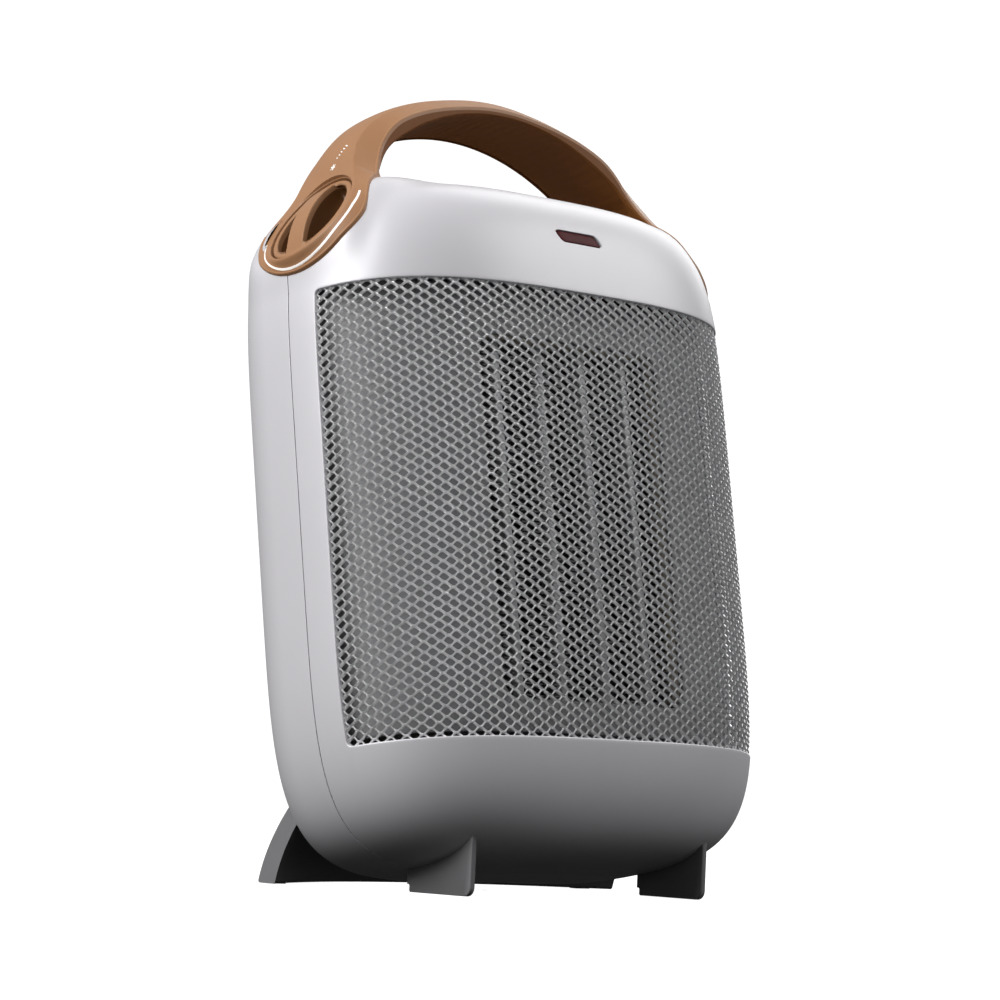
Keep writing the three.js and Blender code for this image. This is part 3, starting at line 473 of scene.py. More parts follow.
# ---- casing ---------------------------------------------------------------------------------
def seam_loop(count, y):
    """The body's outline on the plane y, anticlockwise seen from the front, by its angle."""
    turn = np.linspace(0, 2 * math.pi, count, endpoint=False)
    heading = np.stack([np.cos(turn), 0 * turn, np.sin(turn)], -1)
    middle = CENTRE + np.array([0, y, 0])
    return turn, cast(middle + heading * 400, -heading, 400)


def wall_y(x, z):
    """The front wall's depth at x and z."""
    share = reach_at(z) ** FRONT_PLAN - (np.abs(x) / HALF_WIDTH) ** FRONT_PLAN
    return -FRONT_DEPTH * share.clip(0) ** (1 / FRONT_PLAN)


def wall_x(y, z):
    """The right side's distance from the middle at y and z."""
    share = reach_at(z) ** FRONT_PLAN - (np.abs(y) / FRONT_DEPTH) ** FRONT_PLAN
    return HALF_WIDTH * share.clip(0) ** (1 / FRONT_PLAN)


BODY_TABLE = plan_table(HALF_WIDTH, FRONT_DEPTH, FRONT_PLAN)


SIDE_STEPS, CORNER_STEPS, ACROSS_STEPS = 90, 26, 150
SEAM_CORNER_X = 74.0
MIRROR = np.array([-1, 1, 1])


def opening_loop():
    """The grille's opening, once round anticlockwise from the foot of its right side."""
    low, high = OPEN_BOTTOM + OPEN_CORNER, OPEN_TOP - OPEN_CORNER
    inner_y = OPEN_SIDE_Y - OPEN_CORNER

    def on_side(y, z):
        return np.stack(np.broadcast_arrays(wall_x(y, z), y, z), -1)

    right = on_side(OPEN_SIDE_Y, np.linspace(low, high, SIDE_STEPS, endpoint=False))
    a = np.linspace(0, math.pi / 2, CORNER_STEPS, endpoint=False)
    y, z = inner_y + OPEN_CORNER * np.cos(a), high + OPEN_CORNER * np.sin(a)
    top_right = on_side(y, z)
    low_right = on_side(y, OPEN_BOTTOM + OPEN_TOP - z)
    end = np.interp(-inner_y, -BODY_TABLE[2][::-1], BODY_TABLE[0][::-1])
    across = np.linspace(end, -end, ACROSS_STEPS, endpoint=False)
    top = wall_point(across, OPEN_TOP, 0, BODY_TABLE)
    bottom = wall_point(-across, OPEN_BOTTOM, 0, BODY_TABLE)
    return np.concatenate([right, top_right, top, (top_right * MIRROR)[::-1], (right * MIRROR)[::-1],
                           low_right * MIRROR, bottom, low_right[::-1]])


def opening_and_seam():
    """Matching points of the grille's opening and of the seam, side for side and corner for corner."""
    full = 2 * math.pi
    seam_turn, seam = seam_loop(4000, SEAM_Y - SEAM_HALF_GAP)
    off_corner = np.abs(seam[:, 0] - SEAM_CORNER_X)
    top = seam[np.argmin(off_corner + (seam[:, 2] < HALF_HEIGHT) * 999)]
    foot = seam[np.argmin(off_corner + (seam[:, 2] > HALF_HEIGHT) * 999)]
    low, high = OPEN_BOTTOM + OPEN_CORNER, OPEN_TOP - OPEN_CORNER
    ends = ((HALF_WIDTH, low), (HALF_WIDTH, high), (top[0], top[2]), (-top[0], top[2]),
            (-HALF_WIDTH, high), (-HALF_WIDTH, low), (-foot[0], foot[2]), (foot[0], foot[2]))
    turns = [math.atan2(z - HALF_HEIGHT, x) % full for x, z in ends]
    turns[0] -= full
    turns.append(turns[0] + full)
    length = loop_length(seam)
    places = [np.interp(a % full, np.append(seam_turn, full), length) + math.floor(a / full) * length[-1]
              for a in turns]
    spans = [SIDE_STEPS, CORNER_STEPS, ACROSS_STEPS, CORNER_STEPS] * 2
    outer = np.concatenate([np.linspace(a, b, n, endpoint=False)
                            for a, b, n in zip(places, places[1:], spans)])
    return opening_loop(), resample(seam, outer / length[-1])


def near_axis(points, origin, direction, radius):
    offset = np.asarray(points) - origin
    along = (offset @ direction)[..., None] * direction
    return np.linalg.norm(offset - along, axis=-1) < radius


def clear_cups(sheet):
    """Leaves out the faces of a casing that would show inside the controls' recesses."""
    points = sheet.merged()
    faces = np.array([face for face in sheet.faces if len(face) == 4])
    others = [face for face in sheet.faces if len(face) != 4]
    sheet.faces = faces[~cup_mask(points[faces].mean(1))].tolist() + others


def cell_middles(grid):
    grid = np.concatenate([grid, grid[:, :1]], 1)
    return (grid[:-1, :-1] + grid[1:, :-1] + grid[:-1, 1:] + grid[1:, 1:]) / 4


def cup_mask(middles):
    """Which points lie in either control's recess."""
    inside = np.zeros(middles.shape[:-1], bool)
    for side, flip in ((-1, 1), (1, MIRROR)):
        inside |= near_axis(middles, CONTROL * flip, AXIS * flip, CUP_R + 3.3) & (middles[..., 0] * side > 0)
    return inside


def wall_grid(inner, outer, rows, lip, seam):
    """A casing wall between two closed loops, with its edges rolled in.
    lip and seam give each edge's (radius, depth, back)."""
    sheet = Sheet()
    n_in, n_out = normal(inner), normal(outer)
    to_inner = loop_sides(inner, n_in, inner - outer)
    to_outer = loop_sides(outer, n_out, outer - inner)
    start, end = inner - to_inner * lip[0], outer - to_outer * seam[0]
    shares = (1 - np.cos(np.linspace(0, math.pi, rows))) / 2 * 0.5 + np.linspace(0, 1, rows) * 0.5
    grid = np.stack([project(start * (1 - t) + end * t) for t in shares])
    ids = sheet.add(grid)
    for base, ring, sides, out, (radius, depth, back) in (
            (0, inner, to_inner, n_in, lip), (-1, outer, to_outer, n_out, seam)):
        strip = [ids[base]] + [sheet.add(r) for r in edge_rings(ring, sides, out, radius, depth, back)]
        sheet.quads(np.array(strip), closed=True)
    return sheet, grid, ids


def pad_mask(mask, shape):
    """A mask of the open grid's cells, with the cells that close the loop added."""
    full = np.zeros(shape, bool)
    full[:mask.shape[0], :mask.shape[1]] = mask
    return full


def slanted(half_w, half_h, corner):
    """The indicator's outline: a rounded strip whose ends lean."""
    outline = rounded_rectangle(half_w, LENS_Z - half_h, LENS_Z + half_h, corner, 8, 0.6)
    outline[:, 0] -= (outline[:, 1] - LENS_Z) * LENS_SLANT
    return outline


def front_shell():
    inner, outer = opening_and_seam()
    sheet, grid, ids = wall_grid(inner, outer, 44, (0.5, 2.0, 5.0), (0.15, 2.2, 4.0))
    slot = slanted(LENS_W / 2, LENS_H / 2, LENS_CORNER)
    loop = np.stack([slot[:, 0], wall_y(slot[:, 0], slot[:, 1]), slot[:, 1]], -1)
    mask, _, _ = punch(sheet, grid, ids, loop, project, normal, fillet=0.35, depth=3.5)
    sheet.quads(ids, closed=True, skip=pad_mask(mask, (grid.shape[0] - 1, grid.shape[1])))
    clear_cups(sheet)
    return make("front_casing", sheet, pearl, "heater", replaces=["front_shell"])


def seam_shade_strip():
    """A black strip set down in the seam between the two casings: painted shade standing for the shadow in
    the gap.
    """
    sheet, rings = Sheet(), []
    for y, sink in ((-0.5, -2.0), (-0.3, -0.3), (0.3, -0.3), (0.5, -2.0)):
        _, loop = seam_loop(700, SEAM_Y + y)
        rings.append(sheet.add(project(loop, sink)))
    sheet.quads(np.array(rings), closed=True)
    clear_cups(sheet)
    # Painted shade: this black strip stands for the shadow down in the seam's gap.
    return make("seam_shade_strip", sheet, black, "heater")


def rear_outline(loop_xz):
    """(x, z) points laid on the body's back."""
    start = np.stack([loop_xz[:, 0], np.full(len(loop_xz), 150.0), loop_xz[:, 1]], -1)
    return cast(start, np.array([0.0, -1.0, 0.0]), 200)


def intake_loop(turn):
    """The rear intake's outline, at the directions that match the seam's points."""
    low, high = FAN_Z - INTAKE_H / 2, FAN_Z + INTAKE_H / 2
    outline = rounded_rectangle(INTAKE_W / 2, low, high, INTAKE_CORNER, 24, 0.5)
    facing = np.arctan2(outline[:, 1] - FAN_Z, outline[:, 0])
    order = np.argsort(facing)
    wrapped = np.angle(np.exp(1j * turn))
    return rear_outline(np.stack([np.interp(wrapped, facing[order], outline[order, k], period=2 * math.pi)
                                  for k in range(2)], -1))


def screw_well(sheet, grid, ids, x, z):
    """A round well for a case screw, down to the screw's seat. Returns the cells it takes from the grid."""
    a = np.linspace(0, 2 * math.pi, 48, endpoint=False)
    loop = rear_outline(np.stack([x + WELL_MOUTH * np.cos(a), z + WELL_MOUTH * np.sin(a)], -1))
    mask, ring, _ = punch(sheet, grid, ids, loop, project, normal, room=1.6, fillet=0.5, depth=0.9)
    last = sheet.merged()[ring]
    centre = np.array([x, SCREW_SEAT, z])
    offset = last - centre
    spokes = unit(offset * [1, 0, 1]) * WELL_R
    tube = [ring, sheet.add(centre + spokes + offset * [0, 1, 0]), sheet.add(centre + spokes)]
    sheet.quads(np.array(tube), closed=True)
    sheet.fan(tube[-1], centre)
    return mask


def rear_shell():
    turn, outer = seam_loop(560, SEAM_Y + SEAM_HALF_GAP)
    sheet, grid, ids = wall_grid(intake_loop(turn), outer, 64, (0.6, 2.2, 3.0), (0.15, 2.2, 4.0))
    middles = cell_middles(grid)
    upright = np.array([0, -math.sin(LEAN), math.cos(LEAN)])
    level_axis = np.array([0, math.cos(LEAN), math.sin(LEAN)])
    skip = near_axis(middles, from_floor(GLAND), level_axis, 6.4) & (middles[..., 1] > 0)
    skip |= near_axis(middles, from_floor([0, PLUNGER_Y, 0]), upright, 3.4) & (middles[..., 2] < 60)
    for side in (-1, 1):
        for z in SCREW_ROWS:
            skip |= pad_mask(screw_well(sheet, grid, ids, side * SCREW_X, z), skip.shape)
    sheet.quads(ids, closed=True, skip=skip)
    clear_cups(sheet)
    return make("rear_casing", sheet, pearl, "heater", replaces=["rear_shell"])


# ---- mesh grille ----------------------------------------------------------------------------
MESH_PITCH_S, MESH_PITCH_Z = 6.1, 3.84
MESH_INSET, MESH_DEPTH = 0.8, 1.1
STRAND, BOND, LOUVRE = 0.46, 0.46, 0.6


def cell_outlines():
    """One diamond cell: the shared centre lines of its strands, and the edge of its hole."""
    h, v, b = MESH_PITCH_S / 2, MESH_PITCH_Z / 2, BOND
    corners = np.array([(-h + b, 0), (-b, v), (b, v), (h - b, 0), (b, -v), (-b, -v)])
    outline, hole = [], []
    for a, c in zip(corners, np.roll(corners, -1, 0)):
        outline += [a, a * 0.5 + c * 0.5]
    outline = np.array(outline)
    shrink = np.array([1 - STRAND / (h - b), 1 - STRAND / v])
    hole = outline * shrink
    hole[[2, 4]] *= [1.15, 0.93]
    hole[[8, 10]] *= [1.15, 0.93]
    hole[[0, 6]] *= 0.93
    hole[[3, 9], 1] *= 0.97
    return outline, hole


def front_mesh():
    """The expanded-metal grille: one tube of strand round every diamond hole, wrapped round the plan."""
    table = plan_table(HALF_WIDTH - MESH_INSET, FRONT_DEPTH - MESH_INSET, FRONT_PLAN)
    edge = np.interp(-OPEN_SIDE_Y, -table[2][::-1], table[0][::-1]) + 2.6
    outline, hole = cell_outlines()
    columns = int(edge / (MESH_PITCH_S / 2))
    rows = int((OPEN_TOP - OPEN_BOTTOM) / 2 / MESH_PITCH_Z) + 1
    middle_z = (OPEN_TOP + OPEN_BOTTOM) / 2
    cells = [(i * MESH_PITCH_S / 2, middle_z + (j + 0.5 * (i % 2)) * MESH_PITCH_Z)
             for i in range(-columns, columns + 1) for j in range(-rows, rows + 1)]
    cells = np.array([c for c in cells if OPEN_BOTTOM - 3.2 < c[1] < OPEN_TOP + 3.2])
    tilt = -LOUVRE * np.sin(np.arctan2(hole[:, 1], hole[:, 0] * MESH_PITCH_Z / MESH_PITCH_S))
    rings = [(outline, np.zeros(12)), (hole * 1.06, 0.10 - tilt * 0.9), (hole, 0.32 - tilt),
             (hole * 1.02, MESH_DEPTH - 0.2 - tilt), (outline, np.full(12, MESH_DEPTH))]
    sheet = Sheet()
    for ring, (shape, depth) in enumerate(rings):
        s = cells[:, None, 0] + shape[None, :, 0]
        z = cells[:, None, 1] + shape[None, :, 1]
        base = wall_point(s, z, -MESH_INSET, table)
        out = normal(project(base.reshape(-1, 3))).reshape(base.shape)
        ids = sheet.add(base - out * np.broadcast_to(depth, s.shape)[..., None])
        if ring:
            a, b = before, np.roll(before, -1, 1)
            c, d = np.roll(ids, -1, 1), ids
            sheet.faces.extend(np.stack([a, b, c, d], -1).reshape(-1, 4).tolist())
        before = ids
    return make("mesh_grille", sheet, silver, "heater", replaces=["front_grille"], sharp=50,
                merge=5e-3)


# ---- panel, window and heating element ------------------------------------------------------
PANEL_TABLE = plan_table(PANEL_HALF, PANEL_DEPTH, FRONT_PLAN)
PANEL_BOTTOM, PANEL_TOP, PANEL_SIDE_Y = 45.5, 211.0, -20.0


def panel_outline(window, middle_z):
    """The window's outline spread outwards until each point meets the panel's edge."""
    reach = np.interp(-PANEL_SIDE_Y, -PANEL_TABLE[2][::-1], PANEL_TABLE[0][::-1])
    rise = window[:, 1] - middle_z
    room = np.where(rise > 0, PANEL_TOP - middle_z, middle_z - PANEL_BOTTOM)
    scale = np.minimum(reach / np.maximum(np.abs(window[:, 0]), 1e-6), room / np.maximum(np.abs(rise), 1e-6))
    return np.stack([window[:, 0] * scale, middle_z + rise * scale], -1)


def outlet_panel():
    window = rounded_rectangle(WINDOW_HALF, WINDOW_BOTTOM, WINDOW_TOP, WINDOW_CORNER, 8, 2.0)
    middle_z = (WINDOW_TOP + WINDOW_BOTTOM) / 2
    outer = panel_outline(window, middle_z)
    sheet, rows = Sheet(), []
    for t in np.linspace(0, 1, 30):
        ring = window * (1 - t) + outer * t
        x, y = plan_point(ring[:, 0], PANEL_TABLE)
        rows.append(np.stack([x, y, ring[:, 1]], -1))
    grid = np.array(rows)
    ids = sheet.add(grid)
    sheet.quads(ids, closed=True)
    for base, direction in ((0, -1), (-1, 1)):
        ring = grid[base]
        out = unit(ring * [1 / PANEL_HALF ** 2, 1 / PANEL_DEPTH ** 2, 0])
        sides = loop_sides(ring, out, (ring - [0, 0, middle_z]) * direction)
        strip = [ids[base]]
        strip += [sheet.add(r) for r in edge_rings(ring + sides * 0.6, sides, out, 0.6, 2.0, 3.0)]
        sheet.quads(np.array(strip), closed=True)
    return make("outlet_panel_skin", sheet, panel_grey, "heater", replaces=["outlet_panel"])


def folded_fins(name, node):
    """Thin metal blades stacked up the height of a fin pack, each slit into louvres and leaning by turns."""
    low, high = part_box(node)
    left, right = low.x / MM + 0.3, high.x / MM - 0.3
    front, rear, thick, tilt = -50.6, -38.8, 0.35, 0.55
    folds, louvres, filled = 62, 7, 0.82
    pitch = (right - left) / louvres
    sheet = Sheet()
    for k, z in enumerate(np.linspace(WINDOW_BOTTOM + 0.6, WINDOW_TOP - 0.6, folds + 1)[:-1]):
        lean = tilt * (1 if k % 2 else -1)
        for louvre in range(louvres):
            a = left + pitch * louvre
            tip = 0.5 if louvre % 2 else -0.1
            corners = [(x, y, z + 1.1 + rise + t) for x in (a, a + pitch * filled)
                       for y, rise in ((front + tip, -lean), (rear, lean)) for t in (0, thick)]
            ids = sheet.add(np.array(corners))
            for face in ((0, 1, 3, 2), (4, 6, 7, 5), (0, 4, 5, 1), (2, 3, 7, 6), (0, 2, 6, 4), (1, 5, 7, 3)):
                sheet.faces.append([int(ids[i]) for i in face])
    return make(name, sheet, fin_metal_shaded, "heater", replaces=[node], flat=True)


# ---- handle ---------------------------------------------------------------------------------
ARC_ANGLE = math.pi / 2 - TILT
ARC_LENGTH = STRAP_R * ARC_ANGLE
FACE_DISTANCE = -CONTROL[0] * math.cos(TILT) + CONTROL[2] * math.sin(TILT)
ARC_CENTRE_Z = (FACE_DISTANCE - STRAP_R) / math.sin(TILT)
LOBE_START = ARC_LENGTH + (-CONTROL[0] - STRAP_R * math.sin(ARC_ANGLE)) / math.cos(ARC_ANGLE)
FACET_WIDTH, FACET_DROP, SIDE_RISE = 6.5, 1.5, 2.6
FLARE_FRONT, FLARE_REAR, LOBE_BLEND = 66.0, 88.0, (92.0, 108.0)
LOBE_LENGTH, LOBE_FRONT, LOBE_REAR = 24.4, 26.3, 28.4
CHANNEL_DEPTH, CHANNEL_END = 2.0, 78.0
RIM_ROUND, RIM_WALL = 0.7, 1.7


def strap_point(s, y, height):
    """A point at distance s along the strap, y front to back, and a height over its base line."""
    s, y, height = np.broadcast_arrays(*(np.asarray(v, float) for v in (s, y, height)))
    along = np.minimum(np.abs(s), ARC_LENGTH)
    side, angle, beyond = np.sign(s), along / STRAP_R, np.abs(s) - along
    out_x, out_z = side * np.sin(angle), np.cos(angle)
    x = out_x * (STRAP_R + height) + side * np.cos(angle) * beyond
    z = ARC_CENTRE_Z + out_z * (STRAP_R + height) - np.sin(angle) * beyond
    return np.stack([x, y, z], -1)


def strap_edges(s):
    """The strap's front and rear edges at s: parallel over the arc, flared, then round at the lobe."""
    far = np.abs(s)
    round_end = np.sqrt((1 - ((far - LOBE_START).clip(0) / LOBE_LENGTH) ** 2).clip(0))
    flare = smoothstep(far, FLARE_FRONT, 112) / smoothstep(LOBE_START, FLARE_FRONT, 112)
    front = np.where(far > LOBE_START, CONTROL[1] - LOBE_FRONT * round_end,
                     STRAP_FRONT + (CONTROL[1] - LOBE_FRONT - STRAP_FRONT) * flare)
    rear_flare = smoothstep(far, FLARE_REAR, LOBE_START)
    rear = np.where(far > LOBE_START, CONTROL[1] + LOBE_REAR * round_end,
                    STRAP_REAR + (CONTROL[1] + LOBE_REAR - STRAP_REAR) * rear_flare)
    return front, rear


def lobe_share(up, back, length):
    """1 on a lobe's outline, and in proportion along every line from the control's middle."""
    return np.hypot(up / length, back / np.where(back < 0, LOBE_FRONT, LOBE_REAR))


def case_gap():
    """How far under a lobe's face its outline meets the case, for each direction around it."""
    angle = np.radians(np.arange(-180, 181, 5))
    up, back = np.cos(angle), np.sin(angle)
    radius = 1 / lobe_share(up, back, np.where(up < 0, LOBE_LENGTH, 26))
    rim = CONTROL + (radius * up)[:, None] * UP + (radius * back)[:, None] * BACK
    under = (rim - cast(rim + AXIS * 12, -AXIS, 40)) @ AXIS
    return angle, (under - 0.8).clip(-1.4, 7.5)


def flare_gap():
    """The same under the strap's front edge, where it comes down on to the shoulder."""
    s = np.linspace(70, LOBE_START, 40)
    edge = strap_point(-s, strap_edges(s)[0], 0)
    out = unit(strap_point(-s, 0, 1) - strap_point(-s, 0, 0))
    return s, np.sum((edge - cast(edge + out * 12, -out, 60)) * out, -1) - 0.8


GAP_ANGLE, GAP = case_gap()
FLARE_S, FLARE_GAP = flare_gap()


def edge_drop(s, y):
    """How far the strap's surface rolls down towards its front edge and around the lobe."""
    far = np.abs(s)
    front, _ = strap_edges(s)
    up, back = LOBE_START - far, y - CONTROL[1]
    away = np.hypot(up, back)
    reach = 1 / np.maximum(lobe_share(up, back, LOBE_LENGTH), 1e-6)
    inside = np.where(far > LOBE_START, away * (reach - 1), y - front)
    lobe = np.interp(np.arctan2(back, up), GAP_ANGLE, GAP)
    strap = np.minimum(FACET_DROP + 5.6 * smoothstep(far, 52, 84), np.interp(far, FLARE_S, FLARE_GAP))
    on_lobe = smoothstep(far, *LOBE_BLEND)
    share = (1 - inside / (FACET_WIDTH - on_lobe)).clip(0, 1) ** (1 + 0.35 * on_lobe)
    clear_of_cup = np.where(far > FLARE_REAR, smoothstep(away, 20.4, 22.6), 1)
    return (strap + (lobe - strap) * on_lobe) * share * clear_of_cup


def strap_height(s, y):
    """The strap's crown, with a facet planed along its front edge."""
    front, rear = strap_edges(s)
    share = 1 - smoothstep(np.abs(s), CROWN_FADE, CROWN_END)
    width = np.maximum(rear - front, 1e-6)
    across = np.clip((y - front) / width, 0, 1) * 2 - 1
    crown = STRAP_CROWN * share * (1 - np.abs(across) ** 2.6)
    planed = 1 - smoothstep(np.abs(s), 76, 100)
    from_edge = np.clip((y - front) / FACET_WIDTH, 0, 1)
    ridge = STRAP_CROWN * share * (1 - np.abs(2 * FACET_WIDTH / width - 1) ** 2.6)
    soft = smoothstep(y - front, FACET_WIDTH - 2.5, FACET_WIDTH + 2.5)
    facet = ridge * from_edge * (1 - soft) + crown * soft
    side = SIDE_RISE * smoothstep(np.abs(s), 14, 62) * (1 - smoothstep(np.abs(s), 62, 100))
    return crown * (1 - planed) + facet * planed + side - edge_drop(s, y)


def wall_depth(s):
    """How far the strap's wall reaches down: thin over the arc, deep round the lobes."""
    return STRAP_T + 2.4 * smoothstep(np.abs(s), 62, 82) + 5.5 * smoothstep(np.abs(s), 82, 92)


def strap_rows():
    """Distances along the strap, from the end of one lobe to the end of the other."""
    round_end = np.linspace(0, math.pi / 2, 44)[1:]
    half = [*np.linspace(0, 76, 62), *np.linspace(76, LOBE_START, 50)[1:],
            *(LOBE_START + LOBE_LENGTH * np.sin(round_end))]
    return np.array([-s for s in half[:0:-1]] + half)


def outline_loop(rows):
    """The strap's outline as (s, y) points, and the unit directions that point into it."""
    front, rear = strap_edges(rows)
    loop = np.concatenate([np.stack([rows, front], -1), np.stack([rows, rear], -1)[::-1]])
    along = np.roll(loop, -1, 0) - np.roll(loop, 1, 0)
    inward = unit(np.stack([-along[:, 1], along[:, 0]], -1))
    return loop, inward


def handle():
    rows = strap_rows()
    n = len(rows)
    loop, inward = outline_loop(rows)
    sheet = Sheet()
    inner = loop + inward * RIM_ROUND
    front, rear = inner[:n], inner[n:][::-1]
    shares = np.concatenate([np.linspace(0, 0.30, 22), np.linspace(0.30, 1, 46)[1:]])
    flat = front[:, None] * (1 - shares)[None, :, None] + rear[:, None] * shares[None, :, None]
    grid = strap_point(flat[..., 0], flat[..., 1], strap_height(flat[..., 0], flat[..., 1]))
    ids = sheet.add(grid)
    skip = np.zeros((n - 1, len(shares) - 1), bool)
    for side in (-1, 1):
        skip |= cup(sheet, grid, ids, side)
    sheet.quads(ids, skip=skip)
    top = strap_height(inner[:, 0], inner[:, 1])
    strip = []
    for k in range(7):
        a = math.pi / 2 * k / 6
        at = loop + inward * RIM_ROUND * (1 - math.sin(a))
        strip.append(strap_point(at[:, 0], at[:, 1], top - RIM_ROUND * (1 - math.cos(a))))
    under = -wall_depth(loop[:, 0])
    edge = top - RIM_WALL
    edge += (under + 0.6 - edge) * smoothstep(np.abs(loop[:, 0]), 72, 92)
    strip.append(strap_point(loop[:, 0], loop[:, 1], edge))
    ring_ids = np.array([sheet.add(ring) for ring in strip])
    sheet.quads(ring_ids, closed=True)
    under_sheet = Sheet()
    at = loop + inward * 0.6
    wall = [strip[-1], strap_point(loop[:, 0], loop[:, 1], under + 0.59),
            strap_point(at[:, 0], at[:, 1], under)]
    under_sheet.quads(np.array([under_sheet.add(ring) for ring in wall]), closed=True)
    underside(under_sheet, rows, at)
    # The strap's underside takes the darker brown as painted shade.
    make("strap_underside", under_sheet, liner_and_underside_shade, "heater")
    return make("strap_handle", sheet, caramel, "heater", replaces=["handle"], sharp=35)


def underside(sheet, rows, edge):
    """The strap's underside, with the channel that takes the liner."""
    n = len(rows)
    front, rear = edge[:n], edge[n:][::-1]
    low, high = STRAP_FRONT + 1.2, STRAP_REAR - 1.2
    step = 0.01
    outside = [(front[:, 1] + low) / 2, low - step]
    channel = [low, (low + high) / 2, high]
    beyond = [high + step, (rear[:, 1] + high) / 2]
    sections = [(front[:, 0], front[:, 1], 0.0)]
    for group, depth in ((outside, 0.0), (channel, CHANNEL_DEPTH), (beyond, 0.0)):
        sections += [(rows, np.clip(y, front[:, 1], rear[:, 1]), depth) for y in group]
    sections.append((rear[:, 0], rear[:, 1], 0.0))
    points = [strap_point(s, y, depth * (np.abs(s) < CHANNEL_END) - wall_depth(s))
              for s, y, depth in sections]
    sheet.quads(sheet.add(np.array(points)))


def cup(sheet, grid, ids, side):
    """The round recess that a control sits in."""
    a = np.linspace(0, 2 * math.pi, 120, endpoint=False)
    s, y = side * (LOBE_START + CUP_R * np.cos(a)), CONTROL[1] + CUP_R * np.sin(a)
    loop = strap_point(s, y, 0)
    axis = AXIS * [-side, 1, 1]
    centre = strap_point(side * LOBE_START, CONTROL[1], 0)

    def laid(points):
        s = side * (LOBE_START - (points - centre) @ (UP * [-side, 1, 1]))
        return strap_point(s, points[..., 1], strap_height(s, points[..., 1]))

    mask, ring, last = punch(sheet, grid, ids, loop, laid, lambda p: np.broadcast_to(axis, p.shape),
                             rings=14, room=1.04, fillet=0.45, depth=CUP_DEPTH - 1)
    spokes = unit(last - (centre - axis * (CUP_DEPTH - 1)))
    rings = [ring]
    for radius, depth in ((CUP_R - 0.3, CUP_DEPTH - 0.3), (CUP_R - 1, CUP_DEPTH),
                          (SPINDLE_HOLE, CUP_DEPTH), (SPINDLE_HOLE, 13)):
        rings.append(sheet.add(centre - axis * depth + spokes * radius))
    sheet.quads(np.array(rings), closed=True)
    return mask


def handle_liner():
    """The darker pad let into the strap's underside, with shallow ribs for grip."""
    sheet = Sheet()
    reach, low, high = 77.6, STRAP_FRONT + 1.4, STRAP_REAR - 1.4
    top = STRAP_T - CHANNEL_DEPTH + 0.3
    s = np.linspace(-reach, reach, 321)
    ribs = 0.06 * np.cos(s * 2 * math.pi / 4.85) * (np.abs(s) < reach - 3)
    section = [(low, top), (low, top + 0.9), (low + 0.4, top + 1.3),
               (high - 0.4, top + 1.3), (high, top + 0.9), (high, top)]
    rings = np.stack([strap_point(s, y, -(d - (ribs if d > top + 1 else 0))) for y, d in section], 1)
    ids = sheet.add(rings)
    sheet.quads(ids, closed=True)
    for end in (0, -1):
        sheet.fan(ids[end], rings[end].mean(0))
    return make("handle_underside_pad", sheet, liner_and_underside_shade, "heater",
                replaces=["handle_liner"])


# ---- controls -------------------------------------------------------------------------------
GRIP_UP = math.cos(GRIP_TURN) * UP + math.sin(GRIP_TURN) * BACK
GRIP_SIDE = np.cross(GRIP_UP, AXIS)


def control_point(u, v, height, side=-1):
    """A point over a control's face: u along the grip, v across it."""
    u, v, height = np.broadcast_arrays(*(np.asarray(k, float) for k in (u, v, height)))
    point = CONTROL + u[..., None] * GRIP_UP + v[..., None] * GRIP_SIDE + height[..., None] * AXIS
    return point * [-side, 1, 1]


def knob_height(u, v):
    """The knob's face, with the arched grip across it."""
    arch = GRIP_RISE * (1 - (u / 18.0) ** 2).clip(0)
    return KNOB_TOP + arch * (1 - smoothstep(np.abs(v), GRIP_W / 2 + 0.1, GRIP_W / 2 + 0.9))


def scoop_loop(side):
    """The D-shaped edge of a finger scoop: an arc of the rim and a straight side along the grip."""
    chord, corner = GRIP_W / 2, 1.2
    reach = math.sqrt((POCKET_R - corner) ** 2 - (chord + corner) ** 2)
    lean = math.atan2(chord + corner, reach)

    def arc(x, y, radius, start, end, count):
        a = np.linspace(start, end, count)
        return np.stack([x + radius * np.cos(a), y + radius * np.sin(a)], -1)

    flat_x = np.linspace(-reach, reach, int(2 * reach / 0.5))[1:-1]
    points = np.concatenate([
        arc(reach, chord + corner, corner, -math.pi / 2, lean, 8),
        arc(0, 0, POCKET_R, lean, math.pi - lean, 70)[1:-1],
        arc(-reach, chord + corner, corner, math.pi - lean, math.pi * 1.5, 8),
        np.stack([flat_x, np.full_like(flat_x, chord)], -1)])
    return points * [1, side]


